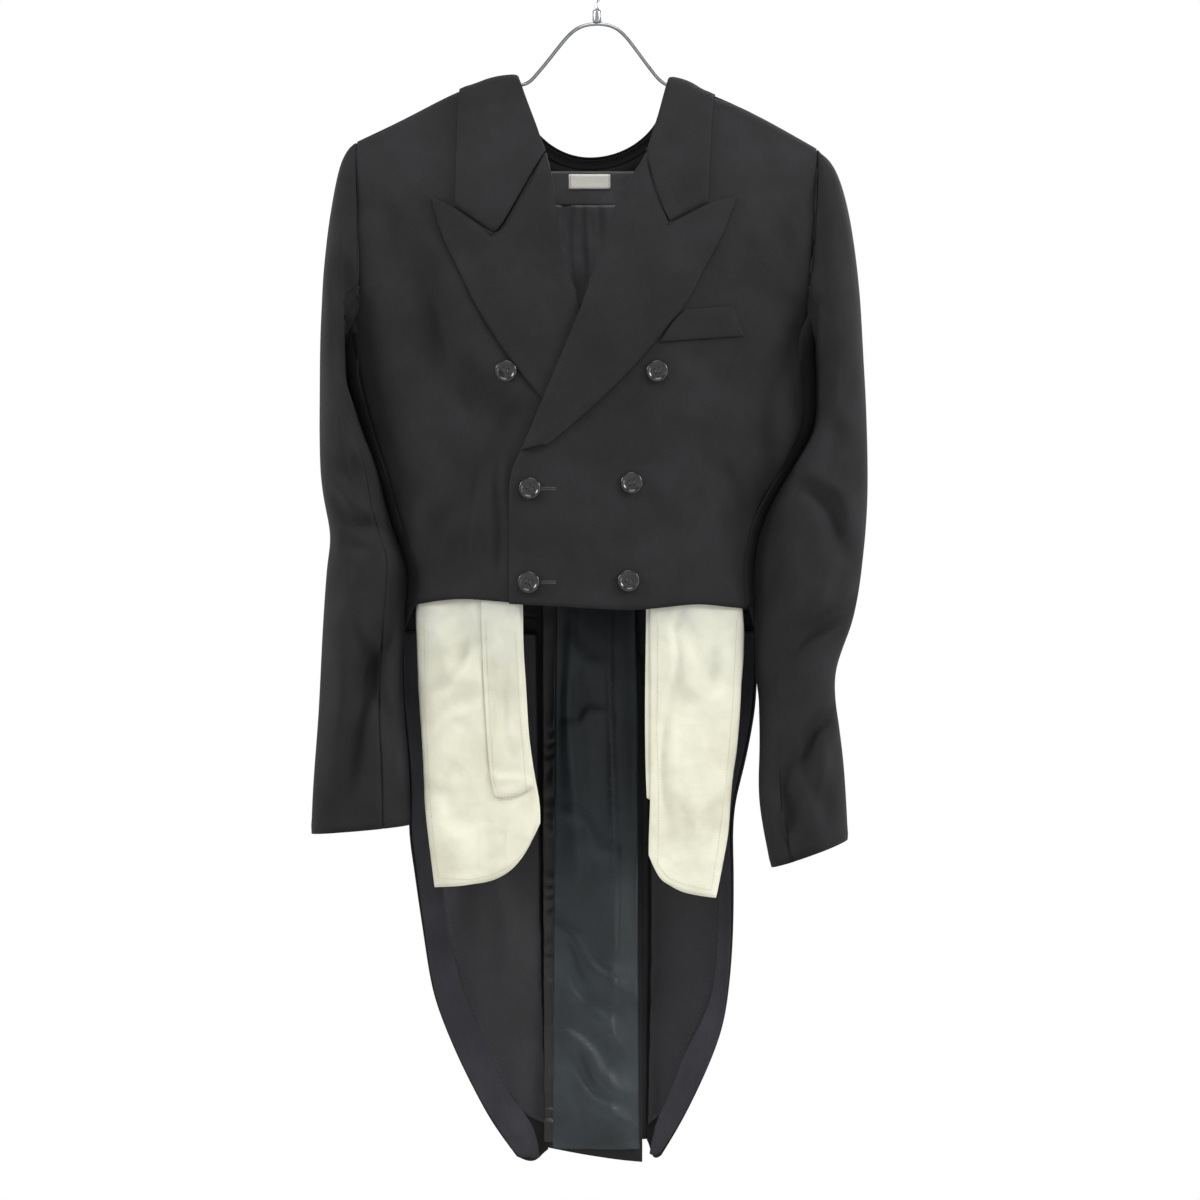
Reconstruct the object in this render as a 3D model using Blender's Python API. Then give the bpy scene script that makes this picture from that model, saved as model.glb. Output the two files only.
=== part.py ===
"""A double-breasted tailcoat hanging on a wire hanger.

Metres, +Z up. The front of the coat faces -Y and the wearer's left is at +X.
The origin is the inside top of the hanger's hook, where a rail carries it.
Tables hold millimetres: x from the middle of the hanger, and drop, which is
how far a point lies below the origin. Cloth pieces are thin closed walls.
"""
import math

import bmesh
import bpy
import numpy as np
from mathutils import Matrix

MM = 0.001

# Cloth walls, in millimetres.
BODY_WALL = 1.8
LAPEL_WALL = 1.6
COLLAR_WALL = 1.8
SLEEVE_WALL = 1.7
LINING_WALL = 1.0
POCKETING_WALL = 1.1

# The space that pieces keep where they meet or lie on each other.
SEAM_GAP = 0.4
CURVED_SEAM_GAP = 0.8
GORGE_GAP = 1.5
ROLL_GAP = 1.6
ROLL_INSET = 0.9
LINING_EASE = 0.9
LAYER_EASE = 0.9
TAIL_INSIDE_EASE = 1.2
UNDER_COAT = BODY_WALL / 2 + LINING_EASE + LINING_WALL / 2
LAPEL_LIFT = BODY_WALL / 2 + LAYER_EASE + LAPEL_WALL / 2
COLLAR_LIFT = BODY_WALL / 2 + LAYER_EASE + COLLAR_WALL / 2

# How far the left front rises over the right one, above the buttons and at the waist.
LAP_SINK = 1.0
LAP_RISE_LAPEL = 4.6
LAP_RISE_WAIST = 1.9
LAPEL_ROLL = 2.2
COLLAR_ROLL = 1.6

# Torso sizes.
SIDE_SQUARENESS = 2.4
SHOULDER_ROUND = 150.0
SHOULDER_X = 150.0
CENTRE_BACK = -7.0
SIDE_SEAM = 0.94
VENT_TOP = 640.0
VENT_LAP = 41.0
VENT_SINK = 3.4
VENT_SLIDE = 34.0
WAIST_FRONT = 626.0
WAIST_BACK = 636.0
BACK_HEM_RIGHT = 1146.0
BACK_HEM_LEFT = 1132.0

# Buttons, in millimetres.
BUTTON_DIAMETER = 20.3
BUTTON_THICK = 3.4
BUTTON_RIM = 2.3
BUTTON_DISH = 1.0
BUTTON_HOLE = 2.1
BUTTON_HOLE_SPACING = 3.7
BUTTON_SIDES = 13

# Hanger, in millimetres.
WIRE_RADIUS = 1.7
HOOK_WIRE_RADIUS = 2.0
HOOK_INSIDE_RADIUS = 19.0
ARCH_PEAK = 79.0
FERRULE_RADIUS = 4.2
FERRULE_HALF = 5.2
FERRULE_BEVEL = 1.0


def columns(names, rows):
    """A table: each name gives one column of the rows."""
    return dict(zip(names.split(), np.array(rows, dtype=float).T))


# The coat's widest outline and its depth to the front and to the back of the hanger.
OUTLINE = columns("drop left right front back", [
    (110, -266, 244, 58, 52),
    (200, -266, 244, 60, 55),
    (300, -262, 238, 63, 59),
    (345, -250, 222, 65, 61),
    (381, -237, 204, 66, 62),
    (404, -236, 205, 66, 62),
    (430, -230, 207, 66, 62),
    (456, -223, 205, 66, 62),
    (484, -214, 193, 67, 62),
    (515, -203, 174, 68, 62),
    (547, -194, 157, 70, 62),
    (574, -183, 150, 72, 62),
    (600, -177, 147, 74, 62),
    (624, -178, 149, 75, 62),
    (652, -183, 150, 74, 62),
    (715, -184, 149, 70, 61),
    (760, -181, 143, 66, 59),
    (810, -178.5, 133, 60, 56),
    (830, -177.5, 130, 60, 55),
    (891, -180, 133, 58, 51),
    (950, -178, 139, 56, 47),
    (1050, -172, 146, 50, 41),
    (1160, -166, 150, 46, 36),
])

# Upright folds: where each one runs, how far it reaches to each side and how deep it is.
TAIL_FOLDS = columns("x reach depth", [
    (-118, 26, -6), (-52, 15, 6), (8, 30, -5), (48, 13, 6), (95, 22, -5),
])
FRONT_FOLDS = columns("x reach depth", [(-150, 24, -5), (132, 20, -4)])

# The shoulder ridge, from the wearer's right shoulder point to the left one.
RIDGE = columns("x drop", [
    (-250, 214), (-232, 197.5), (-223, 189), (-207, 182.5), (-172, 164.6), (-131, 144.8),
    (-100, 135), (-76, 131), (-40, 130), (0, 130), (40, 130), (68.6, 132.5), (110, 148.5),
    (128, 155), (167, 175), (193, 190), (206, 197), (212, 201), (230, 214),
])

# The armhole's seam in the front view, on each side.
ARMHOLE = columns("drop right left", [
    (185, -225, 206), (213, -225, 206), (249, -223.5, 204), (284, -222.5, 201),
    (316, -221, 198), (345, -220.5, 195), (362, -221, 194),
])

# The inner edge of each front: the neck, the roll of the lapel, then the closing edge.
FRONT_EDGE_RIGHT = columns("drop x", [
    (125, -77.5), (133, -76.5), (151, -70.5), (174, -62), (207, -50), (246, -43), (288, -38.5),
    (334, -23.5), (363, -14), (400, 4), (445, 27), (478, 44), (500, 48.5), (640, 48.5),
])
FRONT_EDGE_LEFT = columns("drop x", [
    (125, 70), (133, 69.2), (152, 64), (174, 57.6), (205, 48.5), (244, 27), (273, 14), (310, 2.5),
    (338, -6.5), (363, -16), (437, -47), (480, -65.5), (503, -79), (520, -80.4), (640, -80.4),
])

# The hem of each front, cut off at the waist.
HEM_RIGHT = columns("x drop", [
    (-185, 625), (-168, 624), (-130, 619), (-82, 622), (-68, 624), (0, 624), (60, 624),
])
HEM_LEFT = columns("x drop", [
    (-90, 623), (-32, 626), (31, 629), (49, 628), (95, 624), (127, 627), (139, 628), (160, 628),
])

# The side-back seam, where the side body and the skirt meet the back.
SIDE_BACK = columns("drop right left", [
    (325, -216, 190), (360, -198, 173), (400, -170, 147), (450, -133, 115), (520, -90, 80),
    (600, -62, 55), (636, -57, 50), (700, -56, 50), (800, -54, 50), (900, -52, 50),
    (1160, -46, 47),
])

# The cut-away edge of each skirt. The angle runs from the side towards the back.
SKIRT_ANGLE = columns("drop right left", [
    (620, -21.2, -21.2), (632, -17, -17), (652, -6, -6), (690, 2, 2), (760, 8, 8), (830, 10, 13),
])
SKIRT_EDGE = columns("drop right left", [
    (830, -177, 127.5), (891, -170, 128), (924, -165.4, 127.8), (967, -158.9, 126),
    (1000, -151.8, 122.5), (1032, -140, 116), (1072, -122, 100), (1106, -103.4, 84),
    (1131, -89, 70), (1146, -77, 61), (1160, -68, 56),
])

# Sleeve sections below the armhole. Each runs from its outer point to its inner point in
# the front view, and is as deep as half_depth to the front and the back of its middle.
SLEEVE_RIGHT = columns("outer_x outer_drop inner_x inner_drop half_depth middle", [
    (-232.5, 197, -239.5, 391, 43, 0),
    (-240, 212, -239.4, 397, 51, 1),
    (-246, 243, -238.6, 406, 57, 1),
    (-252.5, 284, -237.8, 420, 61, 0),
    (-256.6, 340, -231.2, 440, 63, -1),
    (-258.5, 395, -223.6, 468, 62, -2),
    (-259.4, 454, -211, 506, 58, -3),
    (-257.6, 508, -199, 546, 53, -4),
    (-249.3, 552, -182.8, 582, 48, -6),
    (-251.5, 584, -180.2, 606, 46.5, -7.5),
    (-254.7, 620, -183.0, 634, 45, -9),
    (-258.5, 692, -187.0, 694, 43, -13),
    (-263, 768, -182.6, 762, 40, -18),
    (-266, 838, -178.4, 830, 37, -23),
])
SLEEVE_LEFT = columns("outer_x outer_drop inner_x inner_drop half_depth middle", [
    (212, 203, 207.5, 391, 43, 0),
    (221, 213, 207.6, 397, 51, 1),
    (230.5, 238, 208.4, 407, 57, 1),
    (239, 278, 208.4, 422, 61, 0),
    (245, 329, 208.2, 442, 63, -1),
    (249, 395, 205.8, 468, 62, -2),
    (251.8, 452, 191.3, 496, 58, -3),
    (252.9, 512, 171, 528, 53, -5),
    (251, 558, 154.6, 560, 49, -7),
    (246, 606, 149.6, 606, 46, -10),
    (235, 652, 151.6, 654, 43, -14),
    (221, 698, 152, 704, 39, -18),
    (226.5, 744, 153, 750, 38, -21),
    (231, 794, 152, 800, 38, -24),
    (234, 843, 163, 869, 37, -27),
])

# Lapels in the front view: how far down the roll a row starts, and where it ends.
LAPEL_RIGHT = columns("inner_drop outer_x outer_drop", [
    (208.5, -62.4, 231.6), (232, -86, 273.8), (270, -91, 279), (306, -96, 283),
    (335, -113, 271.5), (348, -130, 259.5), (357, -152.6, 247.5), (366, -143, 281),
    (376, -124, 321.5), (386, -112, 346), (402, -88.4, 384.5), (415, -72, 407),
    (431, -47, 436.5), (450, -15, 460), (468, 18, 477),
])
LAPEL_LEFT = columns("inner_drop outer_x outer_drop", [
    (207.5, 49.5, 224.5), (226, 58.5, 254), (252, 62, 264), (285, 66, 273.4),
    (312, 84, 264.4), (322, 102, 255), (331, 128.8, 246.5), (341, 116.5, 279),
    (352, 97.8, 315), (363, 83.7, 342), (378, 64.9, 365.7), (400, 43, 393),
    (430, 16, 422), (456, -13, 449.3), (481, -45, 476),
])
LAPEL_STEP = 24.0

# The seam where the collar ends on each front, from its fold to its outer corner.
GORGE_RIGHT = columns("across x drop", [
    (0, -49, 207), (0.25, -63, 230.5), (0.5, -87, 272), (0.62, -96, 280.5), (1, -130.5, 256),
])
GORGE_LEFT = columns("across x drop", [
    (0, 47.5, 205), (0.25, 50, 222), (0.5, 60, 253), (0.62, 67, 270.5), (1, 101.8, 252.5),
])
COLLAR_FOLD_RIGHT = -76.0
COLLAR_EDGE_RIGHT = -127.0
COLLAR_FOLD_LEFT = 68.6
COLLAR_EDGE_LEFT = 109.5
COLLAR_FOLD_BACK = 202.0
COLLAR_EDGE_BACK = 248.0
STAND_SHARE = 0.2

# Pocket bags in the front view: left and right outline at each drop, and the rounded lower edge.
BAG_RIGHT = columns("drop left right", [
    (606, -166, -70), (622, -168, -69), (651, -167.5, -68.5), (700, -166, -66), (747, -163, -62.5),
    (786, -160.5, -57.5), (818, -158.5, -53), (887, -150.5, -53),
])
BAG_RIGHT_END = columns("x drop", [
    (-151, 887), (-127, 885.5), (-103, 882), (-90, 877), (-78, 868.5), (-69, 858), (-63, 848),
    (-57, 837), (-53, 827),
])
BAG_LEFT = columns("drop left right", [
    (608, 49, 133), (626, 49, 135), (660, 49.5, 136), (700, 50, 134), (750, 50, 130.5),
    (790, 50, 126), (818, 49.5, 123), (842, 48.5, 120.5), (896, 48, 110),
])
BAG_LEFT_END = columns("x drop", [
    (48, 856), (53, 871), (59, 878), (66, 883.5), (73, 888), (82, 891.5), (96, 894.5), (110, 896.5),
])
LAYER_RIGHT = columns("drop left right", [
    (608, -107, -71.5), (660, -106, -70), (720, -103, -67), (780, -99, -60), (806, -94, -57.5),
])
LAYER_RIGHT_END = columns("x drop", [(-96, 802), (-91, 806), (-75, 801), (-57.5, 793)])
LAYER_LEFT = columns("drop left right", [
    (610, 46, 88), (660, 45.5, 86), (730, 45, 84), (790, 46, 82), (809, 47, 80),
])
LAYER_LEFT_END = columns("x drop", [(46, 803), (50, 808), (76, 809), (81, 804)])
BAG_END_ROUNDS = 6
BAG_HANG = -38.0
BAG_TOP = 616.0
BAG_EASE_RIGHT = 1.5
BAG_EASE_LEFT = 3.0

# The welt of the breast pocket: inner and outer end at its top and bottom edge.
WELT = columns("inner_x inner_drop outer_x outer_drop", [
    (81.5, 352.5, 125, 349), (70, 364, 130, 362), (58.5, 382, 135.5, 375),
])

# The seam between the tail's facing and its lining, in the front view.
TAIL_SEAM = columns("drop right left", [
    (660, -157, 137), (760, -154, 128), (830, -151, 119), (907, -146.6, 117.5), (955, -137, 114.7),
    (998, -125, 108), (1037, -108, 91), (1070, -95, 76), (1092, -83.7, 70), (1125, -74, 62),
])

BUTTONS = columns("x drop", [
    (-84, 408.9), (55.1, 409.3), (-61.5, 517.7), (31.6, 512.6), (-62.4, 604.2), (28.8, 603),
])

# Half of the hanger's wire from the peak of its arch to where it enters the coat.
ARCH = columns("x drop", [
    (0, 79), (12, 80.5), (23, 87), (32, 97), (41, 109), (50, 121), (58, 130.5), (65, 136),
])
ARM_REACH_RIGHT = -205.0
ARM_REACH_LEFT = 188.0


def read(table, name, where, key="drop"):
    """Reads one column of a table at a place in another, as a smooth curve."""
    keys = table[key]
    values = table[name]
    where = min(max(where, keys[0]), keys[-1])
    last = len(keys) - 2
    index = int(min(max(np.searchsorted(keys, where) - 1, 0), last))
    slopes = np.diff(values) / np.diff(keys)

    def tangent(point):
        if point == 0 or point == len(keys) - 1:
            return slopes[min(point, last)]
        before = slopes[point - 1]
        after = slopes[point]
        if before * after <= 0:
            return 0.0
        return 2 * before * after / (before + after)

    span = keys[index + 1] - keys[index]
    part = (where - keys[index]) / span
    square = part * part
    cube = square * part
    value = (2 * cube - 3 * square + 1) * values[index]
    value += (cube - 2 * square + part) * span * tangent(index)
    value += (3 * square - 2 * cube) * values[index + 1]
    value += (cube - square) * span * tangent(index + 1)
    return float(value)


def row_at(table, share):
    """All columns of a table at a share of the way through its rows."""
    count = len(next(iter(table.values())))
    steps = dict(table)
    steps["row"] = np.arange(count, dtype=float)
    return {name: read(steps, name, share * (count - 1), key="row") for name in table}


def mix(start, end, share):
    return start + (end - start) * share


def ease(value):
    value = min(max(value, 0.0), 1.0)
    return value * value * (3 - 2 * value)


def ridge(x):
    return read(RIDGE, "drop", x, key="x")


def folds(table, x):
    """The depth of a row of upright folds at one place across the coat."""
    return float(np.sum(table["depth"] * np.exp(-((x - table["x"]) / table["reach"]) ** 2)))


def ripple(x, drop, side):
    """The largest folds of the hanging cloth, as extra depth."""
    if side < 0:
        return folds(FRONT_FOLDS, x) * ease((drop - 330) / 60) * ease((640 - drop) / 60)
    blades = ease((drop - 300) / 60) * (1 - ease((drop - 560) / 60))
    return folds(TAIL_FOLDS, x) * ease((drop - 600) / 160) + blades * 4 * math.cos(x / 34)


def outline_at(drop):
    left = read(OUTLINE, "left", drop)
    right = read(OUTLINE, "right", drop)
    return (left + right) / 2, (right - left) / 2


def depth_at(x, drop, side):
    depth = read(OUTLINE, "back" if side > 0 else "front", drop)
    return depth + ripple(x, drop, side)


def implicit(x, y, drop, side):
    """Zero on the coat's surface and positive outside it."""
    middle, half = outline_at(drop)
    across = min(abs(x - middle) / half, 0.9999)
    depth = depth_at(x, drop, side)
    below = drop - ridge(x)
    if below < SHOULDER_ROUND:
        section = (1 - across ** SIDE_SQUARENESS) ** (1 / SIDE_SQUARENESS)
        return (y / (depth * section)) ** 2 + (1 - below / SHOULDER_ROUND) ** 2 - 1
    across = abs(x - middle) / half
    return (abs(y) / depth) ** SIDE_SQUARENESS + across ** SIDE_SQUARENESS - 1


def outward(x, y, drop, side):
    """The unit vector out of the coat's surface."""
    step = 0.05
    slope = np.array([
        implicit(x + step, y, drop, side) - implicit(x - step, y, drop, side),
        implicit(x, y + step, drop, side) - implicit(x, y - step, drop, side),
        -implicit(x, y, drop + step, side) + implicit(x, y, drop - step, side),
    ])
    return slope / np.linalg.norm(slope)


def on_coat(x, drop, side, out=0.0):
    """A point of the coat's surface in the front view, and the way out of it."""
    middle, half = outline_at(drop)
    across = min(abs(x - middle) / half, 1.0)
    section = (1 - across ** SIDE_SQUARENESS) ** (1 / SIDE_SQUARENESS)
    below = min(max((drop - ridge(x)) / SHOULDER_ROUND, 0.0), 1.0)
    y = side * depth_at(x, drop, side) * section * math.sqrt(1 - (1 - below) ** 2)
    way = outward(x, y, drop, side)
    return np.array([x, y, -drop]) + way * out, way


def around_coat(angle, drop, out=0.0):
    """A point of the coat's ring: 0 at the wearer's left side, 90 at the back."""
    middle, half = outline_at(drop)
    cosine = math.cos(math.radians(angle))
    sine = math.sin(math.radians(angle))
    power = 2 / SIDE_SQUARENESS
    x = middle + half * math.copysign(abs(cosine) ** power, cosine)
    side = 1 if sine >= 0 else -1
    y = side * depth_at(x, drop, side) * abs(sine) ** power
    way = outward(x, y, drop, side)
    return np.array([x, y, -drop]) + way * out, way


def angle_of(x, drop, side):
    """The ring's angle at a place in the front view, from the nearer side."""
    middle, half = outline_at(drop)
    across = min(abs(x - middle) / half, 1.0)
    return side * math.degrees(math.acos(across ** (SIDE_SQUARENESS / 2)))


def grid_normals(points, closed=False):
    """Normals of a grid of points from its neighbouring rows and columns."""
    down = np.gradient(points, axis=0, edge_order=2)
    if closed:
        along = (np.roll(points, -1, axis=1) - np.roll(points, 1, axis=1)) / 2
    else:
        along = np.gradient(points, axis=1, edge_order=2)
    normals = np.cross(down, along)
    return normals / np.linalg.norm(normals, axis=2, keepdims=True)


def fabric(name, colour, roughness, metallic=0.0):
    material = bpy.data.materials.get(name)
    if material:
        return material
    material = bpy.data.materials.new(name)
    material.use_nodes = True
    shader = material.node_tree.nodes["Principled BSDF"]
    shader.inputs["Base Color"].default_value = (*colour, 1.0)
    shader.inputs["Roughness"].default_value = roughness
    shader.inputs["Metallic"].default_value = metallic
    return material


WORSTED = ("worsted", (0.025, 0.025, 0.028), 0.85)
SATIN = ("satin", (0.022, 0.03, 0.033), 0.45)
POCKETING = ("pocketing", (0.87, 0.86, 0.76), 0.9)
HORN = ("button", (0.012, 0.012, 0.013), 0.25)
CHROME = ("chrome", (0.7, 0.71, 0.72), 0.15, 1.0)


def place(name, mesh, finish):
    mesh.materials.append(fabric(*finish))
    piece = bpy.data.objects.new(name, mesh)
    bpy.context.scene.collection.objects.link(piece)
    return piece


def closed_mesh(name, vertices, faces):
    """A mesh in metres whose faces point out of it."""
    mesh = bpy.data.meshes.new(name)
    mesh.from_pydata([tuple(value * MM for value in vertex) for vertex in vertices], [], faces)
    shape = bmesh.new()
    shape.from_mesh(mesh)
    bmesh.ops.recalc_face_normals(shape, faces=shape.faces)
    if shape.calc_volume(signed=True) < 0:
        bmesh.ops.reverse_faces(shape, faces=shape.faces)
    bmesh.ops.triangulate(shape, faces=shape.faces)
    shape.to_mesh(mesh)
    shape.free()
    mesh.shade_smooth()
    mesh.set_sharp_from_angle(angle=math.radians(45))
    return mesh


def cloth(name, points, normals, wall, finish):
    """A wall of cloth: a grid of points thickened evenly to both sides."""
    rows, cols = points.shape[:2]
    half = wall / 2
    outer = (points + normals * half).reshape(-1, 3)
    inner = (points - normals * half).reshape(-1, 3)
    count = rows * cols
    faces = []
    for row in range(rows - 1):
        for col in range(cols - 1):
            corner = row * cols + col
            quad = (corner, corner + 1, corner + cols + 1, corner + cols)
            faces.append(quad)
            faces.append(tuple(index + count for index in reversed(quad)))
    rim = [(0, col) for col in range(cols)]
    rim += [(row, cols - 1) for row in range(1, rows)]
    rim += [(rows - 1, col) for col in range(cols - 2, -1, -1)]
    rim += [(row, 0) for row in range(rows - 2, 0, -1)]
    for index, (row, col) in enumerate(rim):
        next_row, next_col = rim[(index + 1) % len(rim)]
        here = row * cols + col
        there = next_row * cols + next_col
        faces.append((there, here, here + count, there + count))
    return place(name, closed_mesh(name, np.vstack([outer, inner]), faces), finish)


def skin(rows, cols, where):
    """A grid of points and normals, from a function of the shares down and across."""
    points = np.zeros((len(rows), len(cols), 3))
    normals = np.zeros_like(points)
    for row, down in enumerate(rows):
        for col, across in enumerate(cols):
            points[row, col], normals[row, col] = where(down, across)
    return points, normals


def even(count):
    return np.linspace(0, 1, count)


def shoulder_steps(length, rolled, straight):
    """Shares down a column that starts on the shoulder ridge: close together there."""
    roll = SHOULDER_ROUND * (1 - np.cos(np.linspace(0, math.pi / 2, rolled))) / length
    armpit = roll[-1] + 12.0 / length
    return np.concatenate([roll, np.linspace(armpit, 1, straight)])


def lap(x, drop, side_name):
    """How far a front lies out of or inside the coat's surface where the fronts cross."""
    if side_name == "left":
        rise = mix(LAP_RISE_LAPEL, LAP_RISE_WAIST, ease((drop - 480) / 90))
        return rise * ease((100 - x) / 46) * ease((drop - 275) / 65)
    return -LAP_SINK * ease((x + 120) / 36)


def front(side_name, edge, hem, rolled=6, straight=11, cols=11):
    """A front: from the shoulder seam to the waist, between its edge and the side seam."""
    sign = -1 if side_name == "right" else 1
    length = WAIST_FRONT - ridge(sign * SHOULDER_X)

    def place_at(down, across):
        x = sign * SHOULDER_X
        for _ in range(12):
            drop = mix(ridge(x), read(hem, "drop", x, key="x"), down)
            inner = read(edge, "x", drop)
            armhole = read(ARMHOLE, side_name, drop)
            middle, half = outline_at(drop)
            seam = middle + sign * half * SIDE_SEAM
            outer = mix(armhole, seam, ease((drop - 352) / 14)) - sign * CURVED_SEAM_GAP / 2
            x = mix(inner, outer, across)
        drop = mix(ridge(x), read(hem, "drop", x, key="x"), down)
        point, way = on_coat(x, drop, -1, lap(x, drop, side_name))
        if down == 0:
            point[1] -= SEAM_GAP / 2
        return point, way

    points, normals = skin(shoulder_steps(length, rolled, straight), even(cols), place_at)
    cloth("front_" + side_name, points, normals, BODY_WALL, WORSTED)


def side_seam_angle():
    """The ring's angle of the seam between front and side body, from the side."""
    return -math.degrees(math.acos(SIDE_SEAM ** (SIDE_SQUARENESS / 2)))


def side_back_angle(drop, side_name, inset=CURVED_SEAM_GAP / 2):
    """The angle from the side to the side-back seam, stopping short of it."""
    sign = -1 if side_name == "right" else 1
    return angle_of(read(SIDE_BACK, side_name, drop) + sign * inset, drop, 1)


def to_ring(angle, sign):
    """An angle from the nearer side, as an angle of the whole ring."""
    return angle if sign > 0 else 180 - angle


def armhole_bottom(share):
    """The armhole under the arm, from the front seam to the side-back seam."""
    if share < 0.5:
        return 384 - 30 * (1 - 2 * share) ** 2
    return 384 - 50 * (2 * share - 1) ** 2


def waist(share):
    return mix(WAIST_FRONT, WAIST_BACK, share)


def side_body(side_name, rows=11, cols=9):
    """The piece under the arm, from the armhole to the waist seam."""
    sign = -1 if side_name == "right" else 1

    def place_at(down, across):
        drop = mix(armhole_bottom(across), waist(across), down)
        first = side_seam_angle() + 0.45
        last = side_back_angle(drop, side_name)
        return around_coat(to_ring(mix(first, last, across), sign), drop)

    points, normals = skin(even(rows), even(cols), place_at)
    cloth("side_body_" + side_name, points, normals, BODY_WALL, WORSTED)


def back_neck(x):
    """The seam where the back meets the collar's stand."""
    fold = COLLAR_FOLD_RIGHT if x < CENTRE_BACK else COLLAR_FOLD_LEFT
    edge = COLLAR_EDGE_RIGHT if x < CENTRE_BACK else COLLAR_EDGE_LEFT
    reach = mix(fold, edge, STAND_SHARE) - CENTRE_BACK
    across = min(abs((x - CENTRE_BACK) / reach), 1.0)
    top = mix(ridge(fold), ridge(edge), STAND_SHARE)
    bottom = mix(COLLAR_FOLD_BACK, COLLAR_EDGE_BACK, STAND_SHARE)
    scoop = top + (bottom - top) * math.sqrt(1 - across * across)
    return scoop + SEAM_GAP


def back(side_name):
    """A back: from the neck and shoulder through the waist to the tail's hem."""
    under_lap = side_name == "right"
    sign = -1 if under_lap else 1
    hem = BACK_HEM_RIGHT if under_lap else BACK_HEM_LEFT
    fold = COLLAR_FOLD_RIGHT if under_lap else COLLAR_FOLD_LEFT
    edge = COLLAR_EDGE_RIGHT if under_lap else COLLAR_EDGE_LEFT
    neck_corner = abs(mix(fold, edge, STAND_SHARE) - CENTRE_BACK)
    shares = np.concatenate([np.linspace(0, 0.16, 6), np.linspace(0.19, 0.5, 13),
                             np.linspace(0.55, 1, 9)])
    neck_share = neck_corner / abs(read(ARMHOLE, side_name, 190) - CENTRE_BACK)
    neck_cols = neck_share * np.sin(np.linspace(0, math.pi / 2, 7))
    cols = np.concatenate([neck_cols, [0.48, 0.62, 0.8, 1]])

    def place_at(down, across):
        x = CENTRE_BACK + sign * 60
        for _ in range(14):
            top = back_neck(x) if abs(x - CENTRE_BACK) < neck_corner else ridge(x)
            bottom = hem + (0.15 * (x - CENTRE_BACK) if under_lap else 0.0)
            drop = mix(top, bottom, down)
            inner = CENTRE_BACK + sign * SEAM_GAP / 2
            if under_lap:
                inner += (VENT_LAP - CENTRE_BACK) * ease((drop - VENT_TOP) / 24)
            armhole = read(ARMHOLE, side_name, drop)
            seam = read(SIDE_BACK, side_name, drop)
            outer = mix(armhole, seam, ease((drop - 322) / 14)) - sign * CURVED_SEAM_GAP / 2
            x = mix(inner, outer, across)
        sink = 0.0
        if under_lap:
            sink = VENT_SINK * ease((x - CENTRE_BACK + VENT_SLIDE) / VENT_SLIDE)
            sink *= ease((drop - VENT_TOP + 50) / 40)
        point, way = on_coat(x, drop, 1, -sink)
        if down == 0 and abs(x - CENTRE_BACK) >= neck_corner:
            point[1] += SEAM_GAP / 2
        return point, way

    points, normals = skin(shares, cols, place_at)
    cloth("back_" + side_name, points, normals, BODY_WALL, WORSTED)


def skirt_edge_angle(drop, side_name):
    if drop < 830:
        return read(SKIRT_ANGLE, side_name, drop)
    return angle_of(read(SKIRT_EDGE, side_name, drop), drop, 1)


def skirt_hem(across, side_name):
    """The rounded tip of a tail, from its cut-away edge to the side-back seam."""
    if side_name == "right":
        return 1145 + 9 * math.sin(math.pi * min(across * 0.9 + 0.1, 1)) - 3 * across
    return 1143 + 7 * math.sin(math.pi * min(across * 0.8 + 0.2, 1)) - 10 * across ** 3


def tail_point(side_name, drop, across, first, last, out):
    sign = -1 if side_name == "right" else 1
    angle = mix(first, last, across)
    return around_coat(to_ring(angle, sign), drop, out)


def skirt(side_name, rows=18, cols=9):
    """The front part of a tail, below the waist seam."""
    def place_at(down, across):
        drop = mix(waist(across) + SEAM_GAP, skirt_hem(across, side_name), down)
        first = skirt_edge_angle(drop, side_name)
        last = side_back_angle(drop, side_name)
        return tail_point(side_name, drop, across, first, last, 0.0)

    points, normals = skin(even(rows), even(cols), place_at)
    cloth("skirt_" + side_name, points, normals, BODY_WALL, WORSTED)


def inside(name, side_name, top, bottom, first, last, rows, cols, finish, lift=0.0):
    """A lining or facing that lies on the inside of a tail, lifted at its inner edge."""
    sink = (BODY_WALL + LINING_WALL) / 2 + TAIL_INSIDE_EASE

    def place_at(down, across):
        drop = mix(top, bottom(across), down)
        return tail_point(side_name, drop, across, first(drop), last(drop),
                          -sink - lift * across)

    points, normals = skin(even(rows), even(cols), place_at)
    cloth(name, points, normals, LINING_WALL, finish)


def tail_insides(side_name):
    """The facing along the cut-away edge, and the lining between it and the back."""
    def edge(drop):
        return skirt_edge_angle(drop, side_name) + 0.4

    def seam(drop):
        return max(angle_of(read(TAIL_SEAM, side_name, drop), drop, 1), edge(drop) + 2)

    def back_edge(drop):
        return side_back_angle(drop, side_name, 1.5)

    top = WAIST_BACK + 14
    inside("tail_facing_" + side_name, side_name, top,
           lambda across: skirt_hem(across * 0.5, side_name) - 3, edge,
           lambda drop: mix(seam(drop), back_edge(drop), ease((drop - 1095) / 35) * 0.6),
           17, 4, WORSTED, LINING_WALL + LINING_EASE + 0.4)
    inside("tail_lining_" + side_name, side_name, top,
           lambda across: mix(1104, 1118, across),
           lambda drop: seam(drop) - 1.0, back_edge, 13, 6, SATIN)


def flat_inside(name, drops, left, right, sink, rows, cols, finish, wave=None):
    """A piece inside the back: its top and bottom, and each edge's x at those two."""
    def place_at(down, across):
        drop = mix(*drops, down)
        x = mix(mix(*left, down), mix(*right, down), across)
        extra = wave(x, drop) if wave else 0.0
        return on_coat(x, drop, 1, -UNDER_COAT - sink - extra)

    points, normals = skin(even(rows), even(cols), place_at)
    cloth(name, points, normals, LINING_WALL, finish)


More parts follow.
